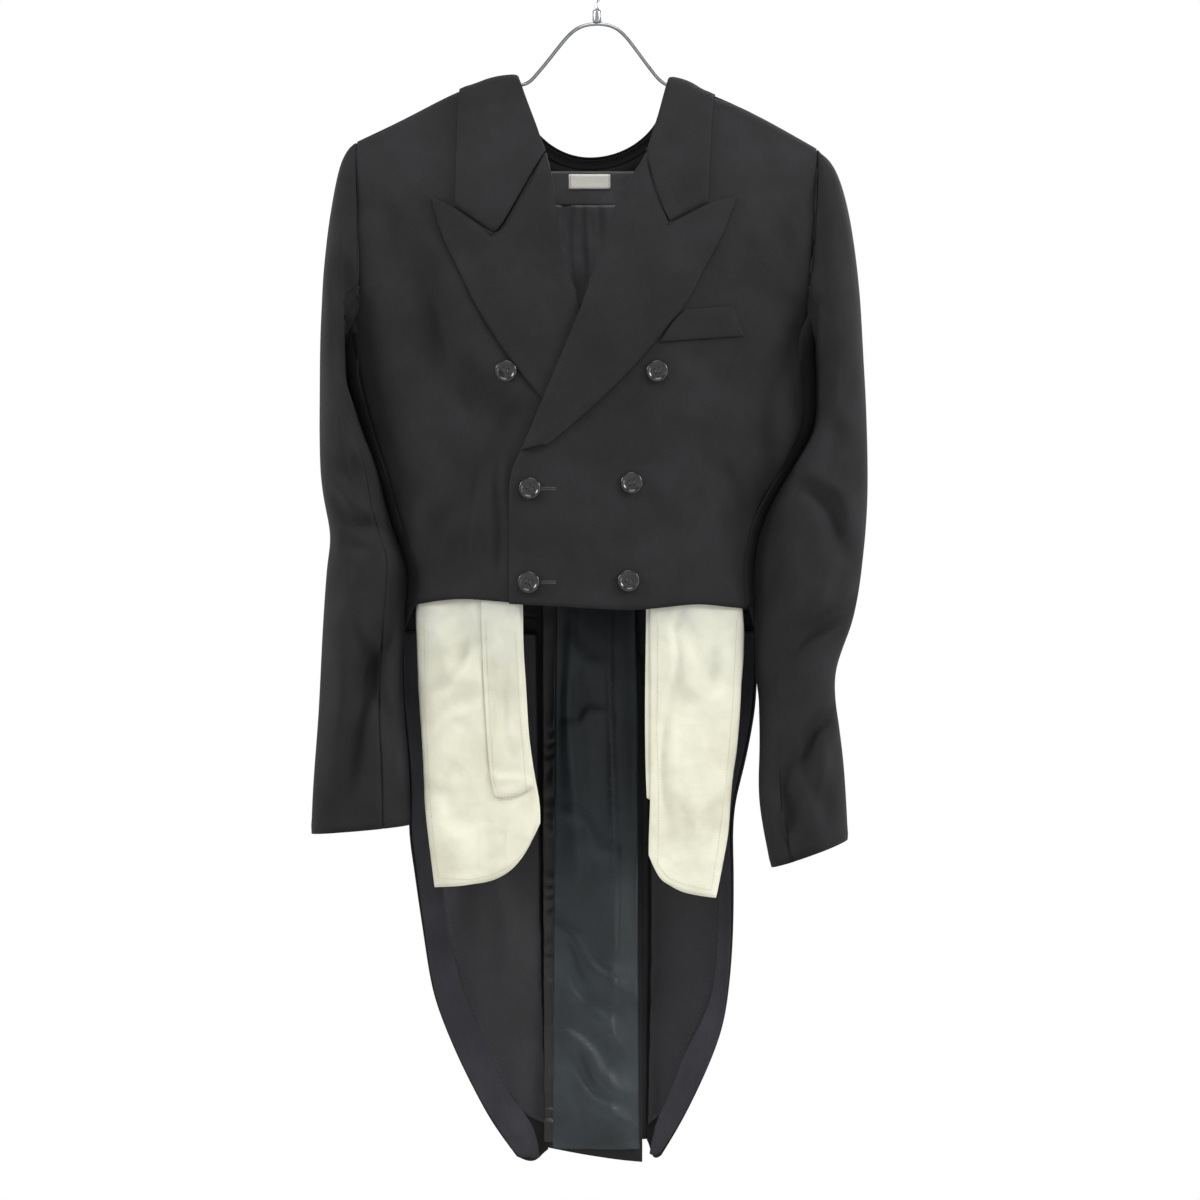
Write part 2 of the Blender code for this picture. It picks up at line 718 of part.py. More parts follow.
def back_insides():
    """What shows of the inside of the back, at the neck and below the waist."""
    def pleat(x, drop):
        return 4.0 * math.exp(-((x + 2) / 7) ** 2)

    def vent_fold(x, drop):
        slant = (drop - 900) * 0.09
        return VENT_SINK + 2.0 * (1 + math.cos((x - slant) / 9)) * ease((drop - 800) / 120)

    def pucker(x, drop):
        return 1.2 * (1 + math.sin(drop / 7.5 + 3 * math.sin(drop / 41)))

    flat_inside("neck_facing", (213.5, 243), (-44, -50), (38, 42.5), 0.0, 4, 7, WORSTED)
    flat_inside("back_lining", (244, 420), (-72, -54.4), (62, 62), 0.0, 9, 9, SATIN, pleat)
    flat_inside("neck_label", (215, 228), (-26.5, -26.5), (12.2, 12.2),
                LINING_WALL + SEAM_GAP, 2, 3, POCKETING)
    flat_inside("vent_lining", (662, 1140), (-38, -38), (36, 36), 0.0, 15, 7, SATIN, vent_fold)
    flat_inside("vent_pleat", (644, 1134), (-52, -48), (-38.7, -38.7), 2.8, 27, 3, SATIN, pucker)


def lapel(side_name, table, edge, cols=5):
    """The turned part of a front. Its inner column wraps round the front's edge."""
    sign = -1 if side_name == "right" else 1
    last = len(table["outer_x"]) - 1
    steps = [0.0]
    for row in range(last):
        run = math.hypot(table["outer_x"][row + 1] - table["outer_x"][row],
                         table["outer_drop"][row + 1] - table["outer_drop"][row])
        if run > LAPEL_STEP:
            steps.append(row + 0.5)
        steps.append(row + 1.0)
    shares = np.array(steps) / last

    def place_at(down, across):
        row = row_at(table, down)
        inner_drop = row["inner_drop"]
        inner_x = read(edge, "x", inner_drop) - sign * ROLL_INSET
        if across < 0:
            shift = lap(inner_x, inner_drop, side_name)
            base, way = on_coat(inner_x, inner_drop, -1, shift)
            beside = on_coat(mix(inner_x, row["outer_x"], 0.1),
                             mix(inner_drop, row["outer_drop"], 0.1), -1, shift)[0]
            turn = base - beside
            turn -= way * np.dot(turn, way)
            turn /= np.linalg.norm(turn)
            return base + turn * (ROLL_GAP + LAPEL_WALL / 2), turn
        x = mix(inner_x, row["outer_x"], across)
        drop = mix(inner_drop, row["outer_drop"], across)
        roll = LAPEL_ROLL * math.sin(math.pi * min(across * 1.6, 1)) * (0.35 + 0.65 * down)
        if side_name == "right":
            roll *= ease((read(FRONT_EDGE_LEFT, "x", drop) - 8 - x) / 40)
        return on_coat(x, drop, -1, lap(x, drop, side_name) + LAPEL_LIFT + roll)

    across_all = np.concatenate([[-1.0], np.linspace(0, 1, cols)])
    points, normals = skin(shares, across_all, place_at)
    cloth("lapel_" + side_name, points, normals, LAPEL_WALL, WORSTED)


def over_ridge(x, roll, out):
    """A point near the shoulder by its angle round the ridge: below 0 is the front."""
    drop = ridge(x) + SHOULDER_ROUND * (1 - math.cos(math.radians(abs(roll))))
    side = 1 if roll >= 0 else -1
    return on_coat(x, drop, side, out)


def collar_place(turn, across):
    """A place on the collar as x and roll: turn runs from the right gorge to the left."""
    right = turn < 0
    fold = COLLAR_FOLD_RIGHT if right else COLLAR_FOLD_LEFT
    edge = COLLAR_EDGE_RIGHT if right else COLLAR_EDGE_LEFT
    gorge = GORGE_RIGHT if right else GORGE_LEFT
    start_x = mix(fold, edge, across)
    way = abs(turn)
    if way > 1:
        share = way - 1
        end_x = float(np.interp(across, gorge["across"], gorge["x"]))
        end_drop = float(np.interp(across, gorge["across"], gorge["drop"])) - GORGE_GAP
        x = mix(start_x, end_x, mix(share * share, share, across))
        below = min((end_drop - ridge(end_x)) / SHOULDER_ROUND, 1.0)
        return x, -math.degrees(math.acos(1 - below)) * share
    angle = math.radians(90 * (1 - way))
    x = CENTRE_BACK + (start_x - CENTRE_BACK) * math.cos(angle)
    top = ridge(start_x)
    bottom = mix(COLLAR_FOLD_BACK, COLLAR_EDGE_BACK, across)
    drop = top + (bottom - top) * math.sin(angle)
    below = min(max((drop - ridge(x)) / SHOULDER_ROUND, 0.0), 1.0)
    return x, math.degrees(math.acos(1 - below))


def collar_point(turn, across, out):
    x, roll = collar_place(turn, across)
    if abs(abs(turn) - 1) < 1e-6:
        roll = 0.0
    return over_ridge(x, roll, out)


def collar():
    """The collar: a stand inside the back neck and a fall turned down over it."""
    front_turns = np.linspace(2, 1, 7)[:-1]
    back_turns = np.concatenate([[1, 0.975, 0.92], np.linspace(5 / 6, 1 / 6, 5)])
    half = np.concatenate([front_turns, back_turns])
    turns = np.concatenate([-half, [0.0], half[::-1]])

    def fall_at(turn, across):
        if across < 0:
            base, way = collar_point(turn, 0, 0.0)
            inner = collar_point(turn, 0.08, 0.0)[0]
            fold = base - inner
            fold -= way * np.dot(fold, way)
            fold /= np.linalg.norm(fold)
            return base + fold * (CURVED_SEAM_GAP + COLLAR_WALL / 2), fold
        roll = COLLAR_ROLL * math.sin(math.pi * min(across * 1.4, 1))
        return collar_point(turn, across, COLLAR_LIFT + roll)

    points, normals = skin(turns, [-1.0, 0.0, 0.25, 0.5, 0.62, 0.8, 1.0], fall_at)
    cloth("collar_fall", points, normals, COLLAR_WALL, WORSTED)

    stand_turns = np.concatenate([-back_turns, [0.0], back_turns[::-1]])
    stand_turns[[0, -1]] *= 0.992
    share = STAND_SHARE - 0.015
    points, normals = skin(stand_turns, [0.0, share / 2, share],
                           lambda turn, across: collar_point(turn, across, 0.0))
    cloth("collar_stand", points, normals, BODY_WALL, WORSTED)


def armhole_loop(side_name):
    """The armhole's seam from the shoulder down the front, under the arm and up the back."""
    sign = -1 if side_name == "right" else 1
    top_x = read(ARMHOLE, side_name, 185)
    loop = []
    for share in np.linspace(0, 1, 24):
        drop = mix(ridge(top_x), armhole_bottom(0), 1 - math.cos(share * math.pi / 2))
        loop.append(on_coat(read(ARMHOLE, side_name, drop), drop, -1))
    for share in np.linspace(0, 1, 20)[1:-1]:
        drop = armhole_bottom(share)
        first = side_seam_angle()
        last = angle_of(read(SIDE_BACK, side_name, drop), drop, 1)
        loop.append(around_coat(to_ring(mix(first, last, share), sign), drop))
    for share in np.linspace(1, 0, 24)[:-1]:
        drop = mix(ridge(top_x), armhole_bottom(1), 1 - math.cos(share * math.pi / 2))
        loop.append(on_coat(read(ARMHOLE, side_name, drop), drop, 1))
    points = np.array([point for point, _ in loop])
    ways = np.array([way for _, way in loop])
    shift = CURVED_SEAM_GAP + (BODY_WALL + SLEEVE_WALL) / 2 * np.abs(ways[:, 0])
    under = np.clip((-points[:, 2] - 325) / 40, 0, 1)
    points[:, 0] += sign * np.maximum(shift * under, CURVED_SEAM_GAP)
    return points, ways


def resample(points, ways, shares):
    """A closed loop read at even shares of its length."""
    closed = np.vstack([points, points[:1]])
    turned = np.vstack([ways, ways[:1]])
    steps = np.linalg.norm(np.diff(closed, axis=0), axis=1)
    run = np.concatenate([[0], np.cumsum(steps)]) / steps.sum()
    place_at = np.column_stack([np.interp(shares, run, closed[:, axis]) for axis in range(3)])
    way = np.column_stack([np.interp(shares, run, turned[:, axis]) for axis in range(3)])
    return place_at, way / np.linalg.norm(way, axis=1, keepdims=True)


def sleeve_section(row, share):
    """A point of a sleeve's ring: share 0 is outermost, 0.25 the front, 0.5 innermost."""
    angle = 2 * math.pi * share
    outer = np.array([row["outer_x"], row["middle"], -row["outer_drop"]])
    inner = np.array([row["inner_x"], row["middle"], -row["inner_drop"]])
    centre = (outer + inner) / 2
    spread = math.copysign(abs(math.cos(angle)) ** 0.9, math.cos(angle))
    point = centre + (outer - centre) * spread
    point[1] -= row["half_depth"] * math.sin(angle)
    return point


def sleeve(side_name, table, rows=17, around=18):
    """A two-piece sleeve, from the armhole's seam to the open cuff."""
    shares = np.arange(around) / around
    loop, ways = resample(*armhole_loop(side_name), shares)
    grid = [loop]
    for down in even(rows):
        row = row_at(table, down)
        grid.append(np.array([sleeve_section(row, share) for share in shares]))
    points = np.array(grid)
    normals = grid_normals(points, closed=True)
    middle = points.mean(axis=1, keepdims=True)
    if np.sum((points - middle) * normals) < 0:
        normals = -normals
    normals[0] = ways
    front_seam = round(around * 0.36)
    hind_seam = round(around * 0.68)
    top = [index % around for index in range(hind_seam, around + front_seam + 1)]
    under = list(range(front_seam, hind_seam + 1))
    for name, picked in (("topsleeve_", top), ("undersleeve_", under)):
        part = points[:, picked].copy()
        part_normals = normals[:, picked]
        for end, beside in ((0, 1), (-1, -2)):
            pull = part[:, beside] - part[:, end]
            pull /= np.linalg.norm(pull, axis=1, keepdims=True)
            part[:, end] += pull * SEAM_GAP / 2
        cloth(name + side_name, part, part_normals, SLEEVE_WALL, WORSTED)


def bag_depth(x, drop, side_name):
    """How far forward a pocket bag hangs: along the front at its top, then straighter."""
    front_y = on_coat(x, BAG_TOP, -1, lap(x, BAG_TOP, side_name))[0][1]
    top = front_y + (BODY_WALL + POCKETING_WALL) / 2
    top += BAG_EASE_RIGHT if side_name == "right" else BAG_EASE_LEFT
    return mix(top, mix(top, BAG_HANG, 0.55), ease((drop - 630) / 200))


def bag_end(table, end, across):
    """How far down one column of a bag reaches, on the rounded lower edge."""
    drop = table["drop"][-1]
    for _ in range(BAG_END_ROUNDS):
        x = mix(read(table, "left", drop), read(table, "right", drop), across)
        drop = float(np.interp(x, end["x"], end["drop"]))
    return drop


def pocket_bag(name, side_name, table, end, shift, rows, cols):
    """A loose bag of pocketing that hangs behind the front's hem."""
    points = np.zeros((rows, cols, 3))
    for col, across in enumerate(even(cols)):
        last = bag_end(table, end, across)
        for row, down in enumerate(even(rows)):
            drop = mix(table["drop"][0], last, down)
            x = mix(read(table, "left", drop), read(table, "right", drop), across)
            slack = 2.2 * ease((drop - 640) / 60) * math.sin(x / 13 + drop / 90)
            points[row, col] = (x, bag_depth(x, drop, side_name) + slack + shift, -drop)
    normals = grid_normals(points)
    if normals[:, :, 1].mean() > 0:
        normals = -normals
    cloth(name + side_name, points, normals, POCKETING_WALL, POCKETING)


def welt():
    """The strip of the breast pocket, on the wearer's left front."""
    def place_at(down, across):
        row = row_at(WELT, down)
        x = mix(row["inner_x"], row["outer_x"], across)
        drop = mix(row["inner_drop"], row["outer_drop"], across)
        return on_coat(x, drop, -1, lap(x, drop, "left") + UNDER_COAT)

    points, normals = skin(even(4), even(6), place_at)
    cloth("welt_pocket", points, normals, LINING_WALL, WORSTED)


def turned(profile, segments):
    """A closed turned shape about +Z from a profile of radius and height."""
    vertices = []
    faces = []
    for radius, height in profile:
        for step in range(segments):
            angle = 2 * math.pi * step / segments
            vertices.append((radius * math.cos(angle), radius * math.sin(angle), height))
    for ring in range(len(profile) - 1):
        for step in range(segments):
            here = ring * segments + step
            beside = ring * segments + (step + 1) % segments
            faces.append((here, beside, beside + segments, here + segments))
    faces.append(tuple(range(segments - 1, -1, -1)))
    last = (len(profile) - 1) * segments
    faces.append(tuple(range(last, last + segments)))
    return vertices, faces


def button(name, x, drop, side_name):
    """A turned button with a raised rim and four holes, flat on its front."""
    radius = BUTTON_DIAMETER / 2
    profile = [
        (radius - 1.2, 0.0), (radius, BUTTON_THICK * 0.4), (radius - 1.0, BUTTON_THICK),
        (radius - BUTTON_RIM - 1.0, BUTTON_THICK - BUTTON_DISH),
    ]
    mesh = closed_mesh(name, *turned(profile, BUTTON_SIDES))
    piece = place(name, mesh, HORN)
    lift = BODY_WALL / 2 + LINING_EASE
    point, way = on_coat(x, drop, -1, lap(x, drop, side_name) + lift)
    across = np.cross(way, (0.0, 0.0, -1.0))
    across /= np.linalg.norm(across)
    up = np.cross(way, across)
    turn = np.eye(4)
    turn[:3, 0] = across
    turn[:3, 1] = up
    turn[:3, 2] = way
    turn[:3, 3] = point * MM
    for corner in range(4):
        across_by = BUTTON_HOLE_SPACING / 2 * (1 if corner in (0, 3) else -1)
        up_by = BUTTON_HOLE_SPACING / 2 * (1 if corner < 2 else -1)
        drill(piece, across_by, up_by)
    piece.matrix_world = Matrix(turn.tolist())


def drill(piece, x, y):
    """Cuts one sewing hole through a button."""
    radius = BUTTON_HOLE / 2
    mesh = closed_mesh("hole", *turned([(radius, -2.0), (radius, BUTTON_THICK + 2)], 6))
    cutter = bpy.data.objects.new("hole", mesh)
    for vertex in mesh.vertices:
        vertex.co.x += x * MM
        vertex.co.y += y * MM
    bpy.context.scene.collection.objects.link(cutter)
    cut = piece.modifiers.new("hole", "BOOLEAN")
    cut.operation = "DIFFERENCE"
    cut.object = cutter
    bpy.context.view_layer.update()
    shape = bmesh.new()
    shape.from_object(piece, bpy.context.evaluated_depsgraph_get())
    piece.modifiers.remove(cut)
    shape.to_mesh(piece.data)
    shape.free()
    bpy.data.objects.remove(cutter)


def smooth_path(route, count):
    """Points at even steps of length on a smooth curve through a route."""
    route = np.array(route, dtype=float)
    run = np.concatenate([[0], np.cumsum(np.linalg.norm(np.diff(route, axis=0), axis=1))])
    table = {"run": run, "x": route[:, 0], "y": route[:, 1], "z": route[:, 2]}
    steps = np.linspace(0, run[-1], count)
    return [tuple(read(table, axis, step, key="run") for axis in "xyz") for step in steps]


def wire(name, route, count, radius, resolution):
    """A round wire along a route, with flat ends."""
    curve = bpy.data.curves.new(name, "CURVE")
    curve.dimensions = "3D"
    curve.bevel_depth = radius * MM
    curve.bevel_resolution = resolution
    curve.use_fill_caps = True
    spline = curve.splines.new("POLY")
    points = smooth_path(route, count)
    spline.points.add(len(points) - 1)
    for target, point in zip(spline.points, points):
        target.co = (point[0] * MM, point[1] * MM, point[2] * MM, 1.0)
    piece = bpy.data.objects.new(name, curve)
    bpy.context.scene.collection.objects.link(piece)
    curve.materials.append(fabric(*CHROME))
    return piece


def hanger():
    """The sprung wire that carries the shoulders, its collar and the hook above it."""
    sink = BODY_WALL / 2 + LINING_EASE + WIRE_RADIUS + 0.7
    half_right = []
    half_left = []
    for x, drop in zip(ARCH["x"], ARCH["drop"]):
        half_left.append((x, 0.0, -drop))
        if x > 0:
            half_right.append((-x - 4 * (x / 68) ** 2, 0.0, -drop))
    for x in np.linspace(84, ARM_REACH_LEFT, 8):
        half_left.append((x, 0.0, -ridge(x) - sink))
    for x in np.linspace(-90, ARM_REACH_RIGHT, 8):
        half_right.append((x, 0.0, -ridge(x) - sink))
    wire("hanger_wire", half_right[::-1] + half_left, 41, WIRE_RADIUS, 2)

    centre = HOOK_WIRE_RADIUS + HOOK_INSIDE_RADIUS
    hook = [(0, 0, -ARCH_PEAK + 13), (0, 0, -ARCH_PEAK + 20), (1.5, 0, -53), (9, 0, -43)]
    for angle in range(-40, 206, 15):
        turn = math.radians(angle)
        hook.append((centre * math.cos(turn), 0,
                     -HOOK_INSIDE_RADIUS + centre * math.sin(turn)))
    wire("hanger_hook", hook, 27, HOOK_WIRE_RADIUS, 2)

    end_radius = FERRULE_RADIUS - FERRULE_BEVEL
    straight = FERRULE_HALF - FERRULE_BEVEL
    ferrule = [(end_radius, -FERRULE_HALF), (FERRULE_RADIUS, -straight),
               (FERRULE_RADIUS, straight), (end_radius, FERRULE_HALF)]
    mesh = closed_mesh("hanger_collar", *turned(ferrule, 12))
    piece = place("hanger_collar", mesh, CHROME)
    piece.location = (0, 0, (-ARCH_PEAK + WIRE_RADIUS + SEAM_GAP + FERRULE_HALF) * MM)


def main():
    for item in list(bpy.data.objects):
        bpy.data.objects.remove(item)
    front("right", FRONT_EDGE_RIGHT, HEM_RIGHT)
    front("left", FRONT_EDGE_LEFT, HEM_LEFT)
    lapel("right", LAPEL_RIGHT, FRONT_EDGE_RIGHT)
    lapel("left", LAPEL_LEFT, FRONT_EDGE_LEFT)
    collar()
    welt()
    for side_name in ("right", "left"):
        side_body(side_name)
        back(side_name)
        skirt(side_name)
        tail_insides(side_name)
    back_insides()
    sleeve("right", SLEEVE_RIGHT)
    sleeve("left", SLEEVE_LEFT, rows=18)
    second = POCKETING_WALL + LINING_EASE
    pocket_bag("pocket_bag_", "right", BAG_RIGHT, BAG_RIGHT_END, second, 12, 9)
    pocket_bag("pocket_layer_", "right", LAYER_RIGHT, LAYER_RIGHT_END, 0.0, 9, 4)
    pocket_bag("pocket_bag_", "left", BAG_LEFT, BAG_LEFT_END, 0.0, 12, 8)
    pocket_bag("pocket_layer_", "left", LAYER_LEFT, LAYER_LEFT_END, second, 9, 4)
    rows = ("top", "middle", "waist")
    for index, (x, drop) in enumerate(zip(BUTTONS["x"], BUTTONS["drop"])):
        side_name = "right" if index % 2 == 0 else "left"
        carried_by = "right" if index == 0 else "left"
        button("button_{}_{}".format(rows[index // 2], side_name), x, drop, carried_by)
    hanger()


main()
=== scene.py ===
# %% [markdown]
# # A black tailcoat on a wire hanger
#
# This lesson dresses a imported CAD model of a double-breasted tailcoat. The CAD holds every cut
# piece as a plain closed wall, at its real size. Here each piece gets a smooth surface, soft
# creases, stitches and a woven material. The model is loaded first, because every later step
# reads its places from it. The wearer's left is at +X and the front faces -Y.

# %% Load the frame
import math

import bmesh
import bpy
import numpy as np
from mathutils import Matrix, Vector
from mathutils.bvhtree import BVHTree


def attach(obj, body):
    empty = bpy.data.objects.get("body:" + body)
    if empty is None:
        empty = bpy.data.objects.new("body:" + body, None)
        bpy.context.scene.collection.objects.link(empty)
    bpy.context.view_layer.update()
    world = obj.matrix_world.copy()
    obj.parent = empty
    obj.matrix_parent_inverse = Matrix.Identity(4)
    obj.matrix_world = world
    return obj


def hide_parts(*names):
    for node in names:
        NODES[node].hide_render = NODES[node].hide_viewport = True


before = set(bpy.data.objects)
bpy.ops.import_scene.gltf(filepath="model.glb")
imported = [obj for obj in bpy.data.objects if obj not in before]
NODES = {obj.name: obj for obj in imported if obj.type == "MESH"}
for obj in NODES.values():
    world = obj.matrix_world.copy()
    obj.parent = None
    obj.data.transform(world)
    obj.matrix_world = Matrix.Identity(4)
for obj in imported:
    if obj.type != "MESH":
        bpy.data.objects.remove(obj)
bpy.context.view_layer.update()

MM = 0.001

# %% [markdown]
# ## The camera and the light
#
# The coat was seen straight from the front, from a few metres away. A long lens keeps the front
# from looking larger than the back. Black wool shows its form only in soft, broad light, so five
# area lamps and a pale world do the work. The floor lies below the frame.

# %% Camera, light and floor
FRAME_WIDTH = 1.128
FRAME_CENTRE = (0.0028, -0.6204)
LENS = 120.0
SENSOR = 36.0


def put(name, data):
    """A new object in the scene."""
    made = bpy.data.objects.new(name, data)
    bpy.context.scene.collection.objects.link(made)
    return made


def make_camera():
    data = bpy.data.cameras.new("camera")
    data.lens = LENS
    data.sensor_width = SENSOR
    camera = put("camera", data)
    distance = FRAME_WIDTH * LENS / SENSOR
    camera.location = (FRAME_CENTRE[0], -distance, FRAME_CENTRE[1])
    camera.rotation_euler = (math.pi / 2, 0, 0)
    bpy.context.scene.camera = camera
    return distance


def make_lamp(name, place, height, size, power):
    """An area lamp that points at the coat's middle line, at a height."""
    data = bpy.data.lights.new(name, "AREA")
    data.size = size
    data.energy = power
    lamp = put(name, data)
    lamp.location = place
    way = Vector((0, 0, height)) - Vector(place)
    lamp.rotation_euler = way.to_track_quat("-Z", "Y").to_euler()


def make_floor(size, height):
    mesh = bpy.data.meshes.new("floor")
    half = size / 2
    corners = [(-half, -half, height), (half, -half, height), (half, half, height),
               (-half, half, height)]
    mesh.from_pydata(corners, [], [(0, 1, 2, 3)])
    floor = put("floor", mesh)
    return floor


LAMPS = [
    # name, place, height it points at, size, watts
    ("top", (0.1, -0.95, 1.05), -0.4, 1.0, 15),
    ("top right", (-1.9, -0.75, 0.5), -0.4, 0.7, 36),
    ("top left", (1.9, -0.85, 0.5), -0.4, 0.7, 38),
    ("low side", (2.2, -1.5, -0.6), -0.8, 0.8, 10),
    ("behind", (0.8, 2.2, 0.9), -0.5, 1.4, 26),
]
distance = make_camera()
for row in LAMPS:
    make_lamp(*row)
floor = make_floor(4.4, -1.65)
bpy.context.scene.view_settings.view_transform = "Standard"
print("camera at", round(distance, 2), "m")

# %% [markdown]
# ## Colours and a way to build materials
#
# Colours are written as sRGB hex values, as a picture editor shows them, and one function turns
# them to linear light. A second small function adds a shader node with its settings and links,
# which keeps every material below to a few readable lines.

# %% Colour and node helpers


def linear(text):
    parts = [int(text[i:i + 2], 16) / 255 for i in (1, 3, 5)]
    return tuple(c / 12.92 if c <= 0.04045 else ((c + 0.055) / 1.055) ** 2.4 for c in parts) + (1.0,)


def add(tree, kind, values=None, links=None):
    """A node with its settings or socket values, and links into its sockets."""
    made = tree.nodes.new(kind)
    for name, value in (values or {}).items():
        if isinstance(name, str) and hasattr(made, name):
            setattr(made, name, value)
        else:
            made.inputs[name].default_value = value
    for name, source in (links or {}).items():
        tree.links.new(source, made.inputs[name])
    return made


def new_material(name, shader_values):
    """A material with its Principled shader, ready for more nodes."""
    material = bpy.data.materials.new(name)
    material.use_nodes = True
    tree = material.node_tree
    shader = tree.nodes["Principled BSDF"]
    for socket, value in shader_values.items():
        shader.inputs[socket].default_value = value
    return material, tree, shader


def ramp(tree, source, stops):
    """A colour ramp from positions and hex colours."""
    made = add(tree, "ShaderNodeValToRGB", links={"Fac": source})
    elements = made.color_ramp.elements
    while len(elements) < len(stops):
        elements.new(0.5)
    for element, (place, tone) in zip(elements, stops):
        element.position = place
        element.color = linear(tone)
    return made.outputs["Color"]


def reckon(tree, operation, *given):
    """A Math node on sockets or numbers."""
    made = add(tree, "ShaderNodeMath", {"operation": operation})
    for socket, value in zip(made.inputs, given):
        if isinstance(value, bpy.types.NodeSocket):
            tree.links.new(value, socket)
        else:
            socket.default_value = value
    return made.outputs[0]


def paint(tree, shader, source, stops):
    """Colours a shader by a ramp."""
    tree.links.new(ramp(tree, source, stops), shader.inputs["Base Color"])


def pale_world(horizon, rest, band):
    """White round the horizon, where the cameras look, and dimmer above and below."""
    world = bpy.data.worlds.new("pale studio")
    world.use_nodes = True
    tree = world.node_tree
    way = add(tree, "ShaderNodeTexCoord").outputs["Generated"]
    height = add(tree, "ShaderNodeSeparateXYZ", links={0: way}).outputs["Z"]
    far = reckon(tree, "ABSOLUTE", height)
    level = add(tree, "ShaderNodeMapRange", {"From Min": band, "From Max": band + 0.3,
                                             "To Min": horizon, "To Max": rest}, {"Value": far})
    back = tree.nodes["Background"]
    tree.links.new(level.outputs[0], back.inputs["Strength"])
    back.inputs["Color"].default_value = linear("#ffffff")
    bpy.context.scene.world = world


pale_world(1.0, 0.35, 0.3)
print("helpers ready")

# %% [markdown]
# ## Wool, satin, cotton, horn and plated wire
#
# The coat is a fine worsted twill: combed wool, woven on the diagonal and pressed. To the eye it
# is near black, matte, with a thin bloom of light at grazing angles. Real twill lines lie about
# half a millimetre apart, which is finer than a pixel here, so they are drawn at 1.6 mm and
# faintly. The pocketing's plain weave is drawn at its real half millimetre, where it only takes
# the shine off. A cloth's UV map is in metres, so one over the spacing sets the weave's scale.

# %% The woven cloths


def weave(tree, spacing, slant, across=1.0):
    """Ribs of thread across the cloth's own UV map, from a real spacing in metres."""
    place = add(tree, "ShaderNodeUVMap", {"uv_map": "cut"}).outputs["UV"]
    turned = add(tree, "ShaderNodeMapping", {"Rotation": (0, 0, slant),
                                             "Scale": (1 / spacing, across / spacing, 1)},
                 {"Vector": place}).outputs["Vector"]
    return add(tree, "ShaderNodeTexWave", {"wave_profile": "SIN", "Scale": 0.5,
                                           "Distortion": 0.6, "Detail": 1.0, "Detail Scale": 1.5},
               {"Vector": turned}).outputs["Fac"]


def mottle(tree, size, detail=3.0, rough=0.55):
    """Soft patches of a real size in metres."""
    place = add(tree, "ShaderNodeTexCoord").outputs["Object"]
    return add(tree, "ShaderNodeTexNoise", {"Scale": 1 / size, "Detail": detail,
                                            "Roughness": rough}, {"Vector": place}).outputs["Fac"]


def blend_heights(tree, parts):
    """One height from several, each with its own share."""
    total = None
    for source, share in parts:
        scaled = reckon(tree, "MULTIPLY", source, share)
        total = scaled if total is None else reckon(tree, "ADD", total, scaled)
    return total


def bump(tree, shader, height, depth):
    bumped = add(tree, "ShaderNodeBump", {"Strength": 1.0, "Distance": depth},
                 {"Height": height})
    tree.links.new(bumped.outputs["Normal"], shader.inputs["Normal"])


def worsted(name, dark, mid, pale):
    """Pressed worsted wool twill: matte, with faint diagonal lines and a thin bloom."""
    material, tree, shader = new_material(name, {
        "Roughness": 0.82, "Sheen Weight": 0.04, "Sheen Roughness": 0.45,
        "Sheen Tint": linear("#8d8f98"), "Specular IOR Level": 0.16})
    twill = weave(tree, 1.6 * MM, math.radians(58))
    cross = weave(tree, 2.3 * MM, math.radians(-20))
    patches = mottle(tree, 60 * MM)
    fuzz = mottle(tree, 1.4 * MM, 2.0, 0.7)
    tone = blend_heights(tree, [(patches, 0.55), (twill, 0.14), (cross, 0.06), (fuzz, 0.3)])
    paint(tree, shader, tone, [(0.32, dark), (0.52, mid), (0.74, pale)])
    bump(tree, shader, blend_heights(tree, [(twill, 0.5), (cross, 0.2), (fuzz, 0.6)]), 0.12 * MM)
    return material


def satin(name, dark, mid, pale):
    """Filament satin lining: smooth floats of thread, so a broad soft shine."""
    material, tree, shader = new_material(name, {
        "Roughness": 0.38, "Sheen Weight": 0.04, "Sheen Roughness": 0.3,
        "Sheen Tint": linear("#9aa7ab"), "Specular IOR Level": 0.32, "Anisotropic": 0.35})
    rib = weave(tree, 1.5 * MM, 0.0, 0.15)
    patches = mottle(tree, 45 * MM)
    tone = blend_heights(tree, [(patches, 0.8), (rib, 0.12), (mottle(tree, 3 * MM), 0.14)])
    paint(tree, shader, tone, [(0.3, dark), (0.52, mid), (0.76, pale)])
    bump(tree, shader, blend_heights(tree, [(rib, 0.3), (mottle(tree, 9 * MM), 1.0)]), 0.25 * MM)
    return material


